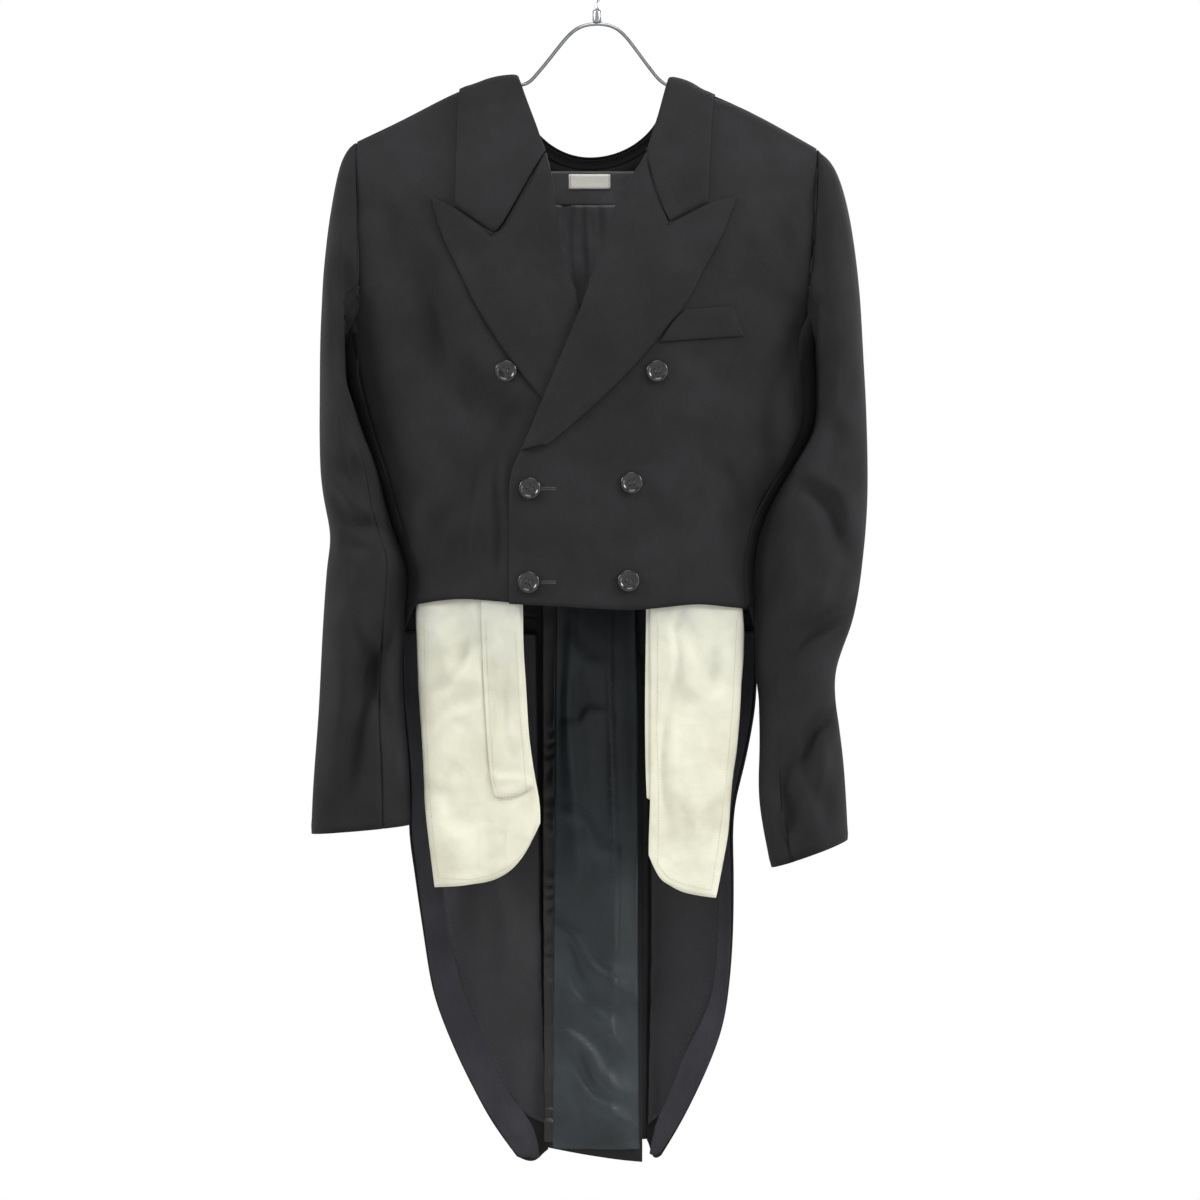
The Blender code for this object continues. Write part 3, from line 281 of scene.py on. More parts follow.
def cotton(name, dark, mid, pale, shade_grey):
    """Plain-woven cotton pocketing: matte, ivory, and greyer towards the top with painted shade."""
    material, tree, shader = new_material(name, {
        "Roughness": 0.88, "Sheen Weight": 0.08, "Sheen Roughness": 0.5,
        "Specular IOR Level": 0.25})
    warp = weave(tree, 0.55 * MM, 0.0, 0.2)
    weft = weave(tree, 0.6 * MM, math.radians(90), 0.2)
    patches = mottle(tree, 50 * MM)
    tone = blend_heights(tree, [(patches, 0.9), (warp, 0.05), (weft, 0.05)])
    shade = ramp(tree, tone, [(0.28, dark), (0.5, mid), (0.72, pale)])
    place = add(tree, "ShaderNodeTexCoord").outputs["Object"]
    height = add(tree, "ShaderNodeSeparateXYZ", links={0: place}).outputs["Z"]
    # Painted shade: a patchy grey that grows towards the bags' tops, where the coat's hem shades them.
    top_shade = add(tree, "ShaderNodeMapRange", {"From Min": -0.74, "From Max": -0.61, "To Min": 0.0,
                                            "To Max": 0.85}, {"Value": height}).outputs[0]
    painted_top_shade = reckon(tree, "MULTIPLY", top_shade, mottle(tree, 34 * MM, 2.0))
    mixed = add(tree, "ShaderNodeMix", {"data_type": "RGBA"}, {"Factor": painted_top_shade, 6: shade})
    mixed.inputs[7].default_value = linear(shade_grey)
    tree.links.new(mixed.outputs[2], shader.inputs["Base Color"])
    bump(tree, shader, blend_heights(tree, [(warp, 0.1), (weft, 0.1),
                                            (mottle(tree, 22 * MM), 5.0)]), 0.3 * MM)
    return material


WOOL = worsted("pressed worsted wool", "#131314", "#1b1b1c", "#242426")
# The facing is the self cloth painted lighter: painted light, for the light that its strips catch.
LIT_FACING = worsted("worsted facing with painted light", "#1f1f23", "#2a2a2e", "#36363b")
SATIN = satin("satin lining", "#161a1c", "#1d2326", "#282f33")
TAIL_SATIN = satin("tail lining", "#0d0d10", "#121216", "#19191e")
PLEAT_SATIN = satin("pleat lining", "#131213", "#1a191a", "#232223")
# The upper lining is the satin painted lighter: painted light, where light falls into the neck.
LIT_NECK_SATIN = satin("painted light upper lining", "#3c3c3e", "#4a4a4c", "#5b5b5e")
# The pocketing's last colour is the grey of its painted shade.
COTTON = cotton("cotton pocketing", "#b4b29f", "#c6c5b2", "#d1d0bf", "#94979a")
LABEL = cotton("woven label tape", "#fdfbee", "#fffdf4", "#ffffff", "#fdfbee")
print("cloths:", WOOL.name, "|", SATIN.name, "|", COTTON.name)

# %% [markdown]
# The buttons are turned polyester made to look like dark horn: hard, glossy, with faint clouds.
# The hanger is spring-steel wire with a bright plated skin. A metal takes its colour from the
# base colour and keeps the default IOR. Fine drawing lines along the wire come from noise that is
# stretched in height.

# %% Hard finishes


def horn():
    material, tree, shader = new_material("dark horn polyester", {
        "Roughness": 0.22, "Coat Weight": 0.35, "Coat Roughness": 0.06,
        "Specular IOR Level": 0.35})
    clouds = mottle(tree, 5 * MM, 4.0)
    paint(tree, shader, clouds, [(0.3, "#0c0c0d"), (0.6, "#171719"), (0.8, "#29282a")])
    rough = add(tree, "ShaderNodeMapRange", {"To Min": 0.16, "To Max": 0.32}, {"Value": clouds})
    tree.links.new(rough.outputs[0], shader.inputs["Roughness"])
    bump(tree, shader, clouds, 0.05 * MM)
    return material


def plated_wire():
    material, tree, shader = new_material("plated steel wire", {"Metallic": 1.0})
    place = add(tree, "ShaderNodeTexCoord").outputs["Object"]
    drawn = add(tree, "ShaderNodeMapping", {"Scale": (900, 900, 60)}, {"Vector": place})
    lines = add(tree, "ShaderNodeTexNoise", {"Scale": 1.0, "Detail": 3.0},
                {"Vector": drawn.outputs[0]}).outputs["Fac"]
    # These greys are darker than bright plating: painted shade for the dark studio that the wire would
    # reflect. The noise in them is the wire's drawing lines.
    paint(tree, shader, lines, [(0.3, "#85878b"), (0.7, "#9a9ca0")])
    rough = add(tree, "ShaderNodeMapRange", {"To Min": 0.14, "To Max": 0.3}, {"Value": lines})
    tree.links.new(rough.outputs[0], shader.inputs["Roughness"])
    bump(tree, shader, lines, 0.004 * MM)
    return material


def thread(name, tone):
    """Sewing thread: twisted, so slightly shiny along its length."""
    material, tree, shader = new_material(name, {"Roughness": 0.55, "Sheen Weight": 0.2})
    twist = mottle(tree, 0.8 * MM, 1.0)
    shade = add(tree, "ShaderNodeMixRGB", {"blend_type": "MULTIPLY", "Fac": 0.5,
                                           "Color1": linear(tone)}, {"Color2": twist}).outputs[0]
    tree.links.new(shade, shader.inputs["Base Color"])
    return material


def paper_floor():
    material, tree, shader = new_material("matte paper floor", {"Roughness": 0.9})
    paint(tree, shader, mottle(tree, 0.4), [(0.3, "#f2f2f1"), (0.7, "#fbfbfb")])
    return material


HORN = horn()
CHROME = plated_wire()
BLACK_THREAD = thread("black silk thread", "#232325")
IVORY_THREAD = thread("ivory cotton thread", "#c2bca0")
floor.data.materials.append(paper_floor())
print("hard finishes:", HORN.name, "|", CHROME.name)

# %% [markdown]
# ## From a coarse wall to a smooth sheet
#
# Each CAD piece is a closed wall: an outer grid, an inner grid and a narrow rim. Only one side is
# kept, its triangles are paired back into quads, and Subdivision Surface smooths it. Plain
# subdivision shrinks a shape, so the coarse points are pushed out until the smooth surface passes
# through the CAD's own points. Sharp corners, such as a lapel's peak, are held by a vertex crease.

# %% One side of a wall
FOLDS = (56, 46, 38, 30)
ONE_SIDE = 0.6
CORNER = math.radians(38)
STRIP_SHARE = 0.42
NARROWEST = 0.0101


def cad_shape(node):
    """A CAD solid as a bmesh, with its points joined."""
    shape = bmesh.new()
    shape.from_mesh(NODES[node].data)
    bmesh.ops.remove_doubles(shape, verts=shape.verts, dist=0.02 * MM)
    return shape


def pair_triangles(shape, degrees):
    bmesh.ops.join_triangles(shape, faces=shape.faces, angle_face_threshold=math.radians(degrees),
                             angle_shape_threshold=math.pi, topology_influence=1.2)


def mesh_of(shape, name):
    """A bmesh as a mesh."""
    mesh = bpy.data.meshes.new(name)
    shape.to_mesh(mesh)
    shape.free()
    return mesh


def dress(mesh, finish=None):
    """Smooth shading, and one material."""
    mesh.polygons.foreach_set("use_smooth", [True] * len(mesh.polygons))
    if finish:
        mesh.materials.clear()
        mesh.materials.append(finish)


def smooth_groups(shape, fold):
    """Groups of faces that hang together without a sharp edge between them."""
    left = set(shape.faces)
    groups = []
    while left:
        seed = left.pop()
        group = [seed]
        queue = [seed]
        while queue:
            face = queue.pop()
            for edge in face.edges:
                if edge.calc_face_angle(0.0) > fold:
                    continue
                for other in edge.link_faces:
                    if other in left:
                        left.remove(other)
                        group.append(other)
                        queue.append(other)
        groups.append(group)
    return groups


def outer_side(node, axis):
    """The side of a wall that faces away from an upright axis, as an open sheet of quads."""
    shape = cad_shape(node)

    def facing(group):
        total = 0.0
        for face in group:
            away = face.calc_center_median() - Vector((axis[0], axis[1], 0))
            away.z = 0
            total += face.calc_area() * face.normal.dot(away.normalized())
        return total

    whole = sum(face.calc_area() for face in shape.faces)
    for fold in FOLDS:
        kept = set(max(smooth_groups(shape, math.radians(fold)), key=facing))
        share = sum(face.calc_area() for face in kept) / whole
        if share < ONE_SIDE:
            break
    print(f"{node}: the kept side is {share:.0%} of the wall", end=", ")
    bmesh.ops.delete(shape, geom=[f for f in shape.faces if f not in kept], context="FACES")
    pair_triangles(shape, 70)
    return shape


def mark_corners(shape):
    """Holds the boundary points where the outline turns sharply."""
    layer = shape.verts.layers.float.new("crease_vert")
    for vert in shape.verts:
        rim = [edge.other_vert(vert).co - vert.co for edge in vert.link_edges if edge.is_boundary]
        if len(rim) == 2 and math.pi - rim[0].angle(rim[1]) > CORNER:
            vert[layer] = 1.0


# %% [markdown]
# A cloth pattern must follow the cloth, so each sheet is unwrapped, which flattens it as its
# paper pattern lies. The map is then scaled to metres and turned so that up is up. Its outline is
# the piece's cut, and gives the sheet's flat size.

# %% Smoothing and flattening


def vectors(source, name):
    values = np.empty(len(source) * 3, np.float32)
    source.foreach_get(name, values)
    return values.reshape(-1, 3).astype(float)


def points_of(mesh):
    return vectors(mesh.vertices, "co")


def set_points(mesh, points):
    mesh.vertices.foreach_set("co", points.astype(np.float32).ravel())
    mesh.update()


def evaluated(piece):
    """The piece's mesh with its modifiers, as a new plain mesh."""
    graph = bpy.context.evaluated_depsgraph_get()
    return bpy.data.meshes.new_from_object(piece.evaluated_get(graph), depsgraph=graph)


def open_edges(mesh):
    """The edges with one face only, each with its two points and its face."""
    faces = {}
    for face in mesh.polygons:
        for key in face.edge_keys:
            faces.setdefault(key, []).append(face.index)
    return [(a, b, found[0]) for (a, b), found in faces.items() if len(found) == 1]


def outline_length(mesh):
    points = points_of(mesh)
    return sum(np.linalg.norm(points[a] - points[b]) for a, b, _ in open_edges(mesh))


def flatten(piece):
    """Unwraps the sheet, in metres, and returns the cut's width, length and area.

    A curved band is stated as the straight strip with its area and outline.
    """
    bpy.context.view_layer.objects.active = piece
    piece.select_set(True)
    bpy.ops.object.mode_set(mode="EDIT")
    bpy.ops.mesh.select_all(action="SELECT")
    bpy.ops.uv.unwrap(method="CONFORMAL", margin=0.0)
    bpy.ops.object.mode_set(mode="OBJECT")
    piece.select_set(False)
    mesh = piece.data
    layer = mesh.uv_layers.active
    layer.name = "cut"
    loops = np.empty(len(mesh.loops), np.int32)
    mesh.loops.foreach_get("vertex_index", loops)
    flat = np.empty(len(mesh.loops) * 2, np.float32)
    layer.uv.foreach_get("vector", flat)
    flat = flat.reshape(-1, 2).astype(float)
    height = points_of(mesh)[loops, 2]
    area = sum(face.area for face in mesh.polygons)
    flat_area = 0.0
    for face in mesh.polygons:
        corners = flat[face.loop_start:face.loop_start + face.loop_total]
        x, y = corners[:, 0], corners[:, 1]
        flat_area += 0.5 * (np.dot(x, np.roll(y, -1)) - np.dot(y, np.roll(x, -1)))
    flat *= math.sqrt(area / abs(flat_area))
    fit = np.linalg.lstsq(np.column_stack([flat, np.ones(len(flat))]), height, rcond=None)[0]
    up = fit[:2] / np.linalg.norm(fit[:2])
    flat = np.column_stack([flat @ np.array([up[1], -up[0]]), flat @ up])
    flat -= flat.min(axis=0)
    layer.uv.foreach_set("vector", flat.astype(np.float32).ravel())
    width, length = float(np.ptp(flat[:, 0])), float(np.ptp(flat[:, 1]))
    if area < STRIP_SHARE * width * length:
        half = outline_length(mesh) / 2
        width = (half - math.sqrt(max(half ** 2 - 4 * area, 0))) / 2
        length = half - width
        width = max(width, NARROWEST)
    return width, length, area


def smooth_through(piece, levels, rounds=3):
    """Subdivides a piece so that the smooth surface passes through its own points."""
    smooth = piece.modifiers.new("smooth", "SUBSURF")
    smooth.levels = levels
    smooth.render_levels = levels
    smooth.boundary_smooth = "PRESERVE_CORNERS"
    target = points_of(piece.data)
    held = target.copy()
    for _ in range(rounds):
        made = evaluated(piece)
        held += target - points_of(made)[:len(held)]
        bpy.data.meshes.remove(made)
        set_points(piece.data, held)
    mesh = evaluated(piece)
    piece.modifiers.remove(smooth)
    old = piece.data
    piece.data = mesh
    bpy.data.meshes.remove(old)
    mesh.name = piece.name


# %% [markdown]
# ## Creases
#
# A coat on a hanger is never flat: wool falls in long shallow folds, and the sleeves break at the
# elbow. Every crease is one row of a table: where it starts and ends in the front view, how wide
# it is and how deep. Each is a trough with a low shoulder on one side, it wanders a little, and
# it fades at both ends. Troughs and ridges move all layers together, so none cuts the next one.

# %% Crease tables, in millimetres
FRONT_CREASES = [
    # x, drop to x, drop, width, depth
    (-188, 285, -84, 490, 17, -5.0), (-152, 330, -104, 476, 8, -2.0),
    (-112, 462, -119, 600, 5, -1.5), (-99, 470, -101, 612, 4, 1.3),
    (-90, 490, -92, 606, 4.5, -1.3), (-154, 470, -160, 612, 14, 2.6),
    (190, 345, 122, 565, 18, -4.4), (152, 410, 96, 596, 14, 2.4), (60, 430, 52, 590, 17, -1.4),
    (198, 240, 150, 330, 13, -2.4), (-208, 240, -168, 330, 13, -2.4), (10, 500, 4, 614, 13, 1.0),
    (-60, 430, -150, 566, 10, -1.4), (120, 490, 134, 614, 10, -2.4), (-30, 520, -34, 614, 9, -1.0),
]
BACK_CREASES = [
    (-170, 300, -60, 560, 20, -3.2), (150, 300, 50, 560, 20, -3.2), (-110, 470, 20, 520, 9, -2.0),
    (110, 480, -20, 535, 9, -2.0), (-60, 560, 70, 585, 8, -1.6), (-196, 360, -150, 520, 12, 2.2),
    (172, 360, 130, 520, 12, 2.2), (-90, 240, -60, 420, 18, 1.6), (80, 240, 50, 420, 18, 1.6),
    (-86, 700, -96, 1060, 14, -2.4), (84, 700, 78, 1040, 14, -2.4), (0, 700, 4, 1100, 12, 1.5),
    (-140, 690, -128, 960, 12, 2.0), (120, 690, 112, 940, 12, 1.8),
]
SLEEVE_RIGHT_CREASES = [
    (-182, 555, -238, 830, 11, -8.5), (-216, 570, -252, 806, 14, 4.5), (-206, 690, -189, 816, 8, -4.5),
    (-258, 518, -196, 568, 8, -6.0), (-262, 462, -210, 540, 11, -4.0), (-258, 320, -242, 505, 13, -4.0),
    (-232, 610, -210, 704, 7, -3.0), (-262, 600, -256, 806, 11, -2.5), (-250, 240, -244, 330, 10, -2.0),
    (-246, 560, -214, 600, 7, 3.0),
]
SLEEVE_LEFT_CREASES = [
    (252, 596, 158, 704, 11, -8.0), (250, 555, 170, 645, 10, 4.0), (188, 500, 242, 588, 10, -6.0),
    (228, 704, 181, 782, 8, -8.0), (181, 770, 178, 856, 8, -6.0), (240, 330, 230, 505, 14, -4.4),
    (224, 716, 214, 856, 12, 4.0), (174, 540, 157, 655, 9, -4.0), (206, 740, 203, 856, 7, 2.4),
    (206, 400, 216, 500, 9, -3.0), (246, 640, 206, 700, 8, 3.0),
]
SLEEVE_BACKS = [
    (-250, 330, -236, 520, 14, -4.0), (-258, 556, -198, 602, 10, -6.0), (-250, 612, -194, 642, 9, -5.0),
    (-240, 660, -226, 815, 13, -4.0), (240, 330, 224, 520, 14, -4.0), (248, 556, 166, 612, 10, -6.0),
    (238, 640, 158, 694, 9, -5.0), (216, 720, 200, 855, 13, -4.0),
]


WANDER = 0.5
SHOULDER, SHOULDER_PLACE = 0.45, 1.7
RELIEF_DEPTH = 0.35 * MM


def crease(points, row, seed):
    """How far one crease moves each point out of the cloth, in metres."""
    start = np.array([row[0], -row[1]]) * MM
    end = np.array([row[2], -row[3]]) * MM
    width = row[4] * MM
    along = end - start
    length = np.linalg.norm(along)
    along /= length
    beside = np.array([-along[1], along[0]])
    flat = points[:, [0, 2]] - start
    run = flat @ along / length
    inside = np.clip(run, 0, 1)
    wander = width * WANDER * np.sin(2 * math.pi * (inside * 1.3 + seed * 0.37))
    off = (flat @ beside - wander) / (width * (0.75 + 0.5 * inside))
    past = (run - inside) * length / width
    fade = np.sin(math.pi * (0.04 + 0.92 * inside)) ** 0.8
    shape = np.exp(-off ** 2) - SHOULDER * np.exp(-(off - SHOULDER_PLACE) ** 2)
    return row[5] * MM * shape * fade * np.exp(-past ** 2)


def creases(points, rows):
    """All creases of a table together."""
    return sum(crease(points, row, seed) for seed, row in enumerate(rows))


def relief(points):
    """The low, uneven waves of hung cloth: a function of place, so layers stay apart."""
    x, y, z = (points / 0.1).T
    waves = np.sin(2.1 * x + 1.3 * z + 1.7 * np.sin(0.9 * z + 0.4))
    waves += 0.7 * np.sin(3.9 * x - 1.1 * z + 0.6 + 1.2 * np.sin(1.7 * z))
    waves += 0.5 * np.sin(1.2 * x + 4.3 * z + 2.0 * y + 2.2)
    return waves * RELIEF_DEPTH


DEPTH = {"front": 1.7, "back": 1.2, "sleeve_right": 1.6, "sleeve_left": 1.6}
ROUND_THE_SIDE = 0.02
SLEEVE_DROPS = [0.2, 0.47, 0.6, 0.7, 0.85]
SLEEVE_MIDDLES = [0.0, -0.002, -0.008, -0.016, -0.026]
print("creases:", sum(map(len, (FRONT_CREASES, BACK_CREASES, SLEEVE_RIGHT_CREASES,
                                SLEEVE_LEFT_CREASES, SLEEVE_BACKS))))

# %% [markdown]
# Where two pieces are sewn, the seam pulls the cloth down into a fine valley, and just beside it
# the cloth stands a little proud over its seam allowance. The distance from each point to its
# sheet's own edge gives that shape. The edges also reach out a little, so that no light shows
# through a seam, and furthest under the arm, where the armhole's parts meet at a point.

# %% Seam valleys and the making of a sheet
SEWN_BAND = 14 * MM
SEAM_REACH = 0.5
OVERLAP_REACH = 1.6
UNDERARM = (8.0, 352, 60)
ARMHOLE = (3.2, 348, 45)
BODY_MIDDLE = 0.14


def edge_distance(mesh, points):
    """How far each point lies from the sheet's nearest edge, up to the sewing's reach."""
    rim = BVHTree.FromPolygons([Vector(p) for p in points],
                               [(a, b, b) for a, b, _ in open_edges(mesh)])
    far = np.full(len(points), SEWN_BAND)
    for index, point in enumerate(points):
        found = rim.find_nearest(Vector(point), SEWN_BAND)
        if found[0] is not None:
            far[index] = found[3]
    return far


def reach_out(mesh, points, reach):
    """Moves the sheet's edge points outwards within the cloth, so that seams meet."""
    away = np.zeros_like(points)
    for a, b, face in open_edges(mesh):
        along = points[b] - points[a]
        along /= max(np.linalg.norm(along), 1e-9)
        out = (points[a] + points[b]) / 2 - np.array(mesh.polygons[face].center)
        out -= along * np.dot(out, along)
        out /= max(np.linalg.norm(out), 1e-9)
        away[a] += out
        away[b] += out
    sizes = np.linalg.norm(away, axis=1)
    moved = sizes > 0.3
    far = np.array([reach(point) for point in points[moved]])
    points = points.copy()
    points[moved] += away[moved] / sizes[moved, None] * far[:, None] * MM
    return points


def even(point):
    return SEAM_REACH


def overlap(point):
    return OVERLAP_REACH


def wider(point, most, drop, spread):
    """A turning that is widest at one drop."""
    return SEAM_REACH + most * max(0.0, 1 - abs(-point[2] / MM - drop) / spread)


def underarm(point):
    return wider(point, *UNDERARM)


def armhole(point):
    """A wider turning on a front's own armhole, and none on its other edges."""
    return SEAM_REACH if abs(point[0]) < BODY_MIDDLE else wider(point, *ARMHOLE)


def sew_edges(far, valley, proud):
    """A dip at the edge and a low rise beside it."""
    dip = -valley * MM * np.exp(-(far / (1.6 * MM)) ** 2)
    rise = proud * MM * np.exp(-((far - 6.0 * MM) / (3.6 * MM)) ** 2)
    return dip + rise


def folds(group, points):
    """How far all creases of a group move each point forwards or backwards.

    The answer depends on the place alone, so two pieces move alike where they are sewn.
    """
    if group == "hanging":
        return 0.0
    if group.startswith("sleeve"):
        middle = np.interp(-points[:, 2], SLEEVE_DROPS, SLEEVE_MIDDLES)
        front = SLEEVE_RIGHT_CREASES if group.endswith("right") else SLEEVE_LEFT_CREASES
        tables = ((-1, front, middle), (1, SLEEVE_BACKS, middle))
    else:
        tables = ((-1, FRONT_CREASES, 0.0),) if group == "front" else ((1, BACK_CREASES, 0.0),)
    move = 0.0
    for side, table, middle in tables:
        share = np.clip((points[:, 1] - middle) * side / ROUND_THE_SIDE + 0.1, 0, 1)
        for seed, row in enumerate(table):
            move = move + side * crease(points, row, seed) * share
    return move * DEPTH[group]


def raise_top(shape, lift):
    """Carries a hanging panel's top edge further up, a little in front of the back."""
    top = max(vert.co.z for vert in shape.verts)
    backs = [BVHTree.FromBMesh(cad_shape("back_" + side)) for side in ("left", "right")]
    for vert in shape.verts:
        if vert.co.z > top - 4 * MM:
            vert.co.z += lift * MM
            start = Vector((vert.co.x, -0.01, vert.co.z))
            hits = [back.ray_cast(start, Vector((0, 1, 0)))[0] for back in backs]
            near = [hit.y for hit in hits if hit is not None]
            if near:
                vert.co.y = min(near) - 1.4 * MM


BODY_AXIS = (-0.011, 0.0)
PIECES = {}


def make_sheet(node, wall, finish, group, axis=BODY_AXIS, levels=3, valley=0.35, proud=0.25,
               extra=None, reach=even, lift=0):
    """One dressed cloth piece from its CAD wall: smooth, creased, and a closed wall again."""
    shape = outer_side(node, axis)
    if lift:
        raise_top(shape, lift)
    mark_corners(shape)
    piece = put("cloth_" + node, mesh_of(shape, "cloth_" + node))
    flatten(piece)
    smooth_through(piece, levels)
    mesh = piece.data
    points = points_of(mesh)
    normals = vectors(mesh.vertex_normals, "vector")
    move = relief(points) * (0.6 if group == "hanging" else 1.0)
    move += sew_edges(edge_distance(mesh, points), valley, proud)
    if extra:
        move += extra(points, normals)
    placed = reach_out(mesh, points, reach) + normals * move[:, None]
    placed[:, 1] += folds(group, points)
    set_points(mesh, placed)
    dress(mesh)
    thick = piece.modifiers.new("wall", "SOLIDIFY")
    thick.thickness = wall * MM
    thick.offset = -1.0
    thick.use_even_offset = False
    solid = evaluated(piece)
    piece.modifiers.remove(thick)
    piece.data = solid
    bpy.data.meshes.remove(mesh)
    solid.name = piece.name
    dress(solid, finish)
    PIECES[node] = piece
    return piece


# %% [markdown]
# ## The body of the coat
#
# The body is two fronts, two side bodies and two long backs, with a skirt below the waist on each
# side. A tailor presses these shapes with an iron. Here every wall comes from the CAD, so all
# that is set is the wall's thickness, the group of creases it joins and its material.

# %% Body pieces
for side in ("left", "right"):
    make_sheet("front_" + side, 1.8, WOOL, "front", reach=armhole)
    make_sheet("side_body_" + side, 1.8, WOOL, "back", reach=underarm)
    make_sheet("back_" + side, 1.8, WOOL, "back", levels=2)
    make_sheet("skirt_" + side, 1.8, WOOL, "back")

# %% [markdown]
# ## Lapels, collar and breast pocket
#
# The lapels are the fronts turned back, so they lie on them and share their creases. The collar
# has a fall that turns down over a stand. The breast pocket is a welt: a narrow strip sewn on at
# its ends. All three carry a crisp pressed edge, so their edges dip less.

# %% Turned and applied pieces
for side in ("left", "right"):
    make_sheet("lapel_" + side, 1.6, WOOL, "front", valley=0.1, proud=0.35)
make_sheet("collar_fall", 1.8, WOOL, "hanging", valley=0.1, proud=0.35)
make_sheet("collar_stand", 1.8, WOOL, "hanging")
make_sheet("welt_pocket", 1.0, WOOL, "front", valley=0.1, proud=0.2)

# %% [markdown]
# ## Sleeves
#
# Each sleeve has two parts, a wide topsleeve and a narrow undersleeve. Their seams run down the
# inside of the arm. The arm's bend makes deep folds at the elbow, and the wearer's left forearm
# shows a twist, where the cloth turns over itself.

# %% Sleeve pieces
# Where a sleeve touches the coat: from drop, to drop, and how much it swells near the cuff.
TOUCH = {"right": (330, 850, 2.4), "left": (330, 712, 0.0)}
SWELL = 2.6
SWELL_WAIST = (4.0, 500, 42)
SWELL_CUFF = (760, 60)


def bell(values, middle, spread):
    return np.exp(-((values - middle) / spread) ** 2)


def against_body(side, sign):
    """The sleeve's inner side swells until it lies against the coat."""
    top, bottom, low = TOUCH[side]
    most, middle, spread = SWELL_WAIST

    def move(points, normals):
        drop = -points[:, 2] / MM
        fade = np.clip((drop - top) / 30, 0, 1) * np.clip((bottom - drop) / 25, 0, 1)
        swell = SWELL + most * bell(drop, middle, spread)
        swell += low * bell(drop, *SWELL_CUFF)
        return swell * MM * fade * np.clip(-sign * normals[:, 0] * 1.6 - 0.2, 0, 1)
    return move


for side, sign in (("right", -1), ("left", 1)):
    axis = (sign * 0.222, -0.004)
    for part in ("topsleeve_", "undersleeve_"):
        make_sheet(part + side, 1.7, WOOL, "sleeve_" + side, axis, extra=against_body(side, sign),
                   reach=underarm)

# %% [markdown]
# ## Linings, facings and the neck
#
# Through the open front the inside of the tails shows. Its outer strip is self cloth, the panel
# beside it and the middle are satin lining, and a narrow pleat gathers into small puckers. The
# middle hangs in slanting folds that catch the light.

# %% Inside pieces
SATIN_FOLDS = [
    (-40, 930, 28, 1000, 9, 6.5), (-38, 972, 26, 1050, 7, 4.6), (-40, 1020, 26, 1090, 8, 6.5),
    (-34, 1064, 28, 1120, 6, 4.6), (-34, 742, 16, 726, 8, 2.6), (-30, 816, 16, 868, 8, 4.4),
    (-26, 620, -22, 900, 6, 2.6), (14, 620, 16, 1130, 4, 2.0), (-36, 664, 10, 690, 7, 3.0),
]
NECK_FOLDS = [
    (-22, 205, -17, 340, 4, 1.6), (2, 205, 0, 330, 5, 1.4), (-40, 215, -34, 330, 4, 1.2),
    (22, 205, 12, 320, 4, 1.4), (-8, 220, -8, 350, 3, 1.2),
]
OFF_THE_BACK = 1.2 * MM
PLEAT_MIDDLE = -42


def slanting(points, normals):
    """Folds that stand off the back and never run into it."""
    move = creases(points, SATIN_FOLDS)
    return -np.where(move > 0, move, 0.25 * move) - OFF_THE_BACK


def puckers(points, normals):
    """Small uneven gathers, one below the other, that fade beside the pleat's middle."""
    drop = -points[:, 2] / MM
    across = points[:, 0] / MM
    beat = np.sin(drop / 2.6 + 2.6 * np.sin(drop / 11) + 0.5 * np.sin(across / 3.0 + drop / 23))
    fade = np.clip(1.3 - np.abs(across - PLEAT_MIDDLE) / 12, 0, 1)
    return MM * beat * (0.6 + 0.4 * np.sin(drop / 29)) * fade


def neck_folds(points, normals):
    return -creases(points, NECK_FOLDS)


for side in ("right", "left"):
    make_sheet("tail_facing_" + side, 1.0, LIT_FACING, "back", valley=0.2, proud=0.5)
    make_sheet("tail_lining_" + side, 1.0, TAIL_SATIN, "back", valley=0.2, proud=0.2)
make_sheet("back_lining", 1.0, LIT_NECK_SATIN, "back", valley=0.0, proud=0.0,
           extra=neck_folds)
make_sheet("vent_lining", 1.0, SATIN, "back", extra=slanting, lift=62)
make_sheet("vent_pleat", 1.0, PLEAT_SATIN, "back", extra=puckers, lift=46)
make_sheet("neck_facing", 1.0, LIT_NECK_SATIN, "back", valley=0.0, proud=0.0,
           reach=overlap)
make_sheet("neck_label", 1.0, LABEL, "hanging", valley=0.0, proud=0.3)

# %% [markdown]
# ## Pocket bags
#
# Two loose bags of ivory cotton hang below the front hem. A narrower second layer lies on each.
# They are light and thin, so they hang in long soft waves, with a few diagonal drags from the
# corner where they are sewn in.

# %% Pocket bags
PATCH = (-96, 850, 12.5, 17.5)
PATCH_RIDGE = 0.9


def bag_folds(rows, patch=None):
    """The bag's waves, and the outline of a small patch pressed through from its other side."""
    def move(points, normals):
        total = creases(points, rows)
        if patch:
            x, drop = points[:, 0] / MM - patch[0], -points[:, 2] / MM - patch[1]
            off = np.maximum(np.abs(x) - patch[2], np.abs(drop) - patch[3])
            total += PATCH_RIDGE * MM * np.exp(-(off / 1.6) ** 2)
        return total
    return move


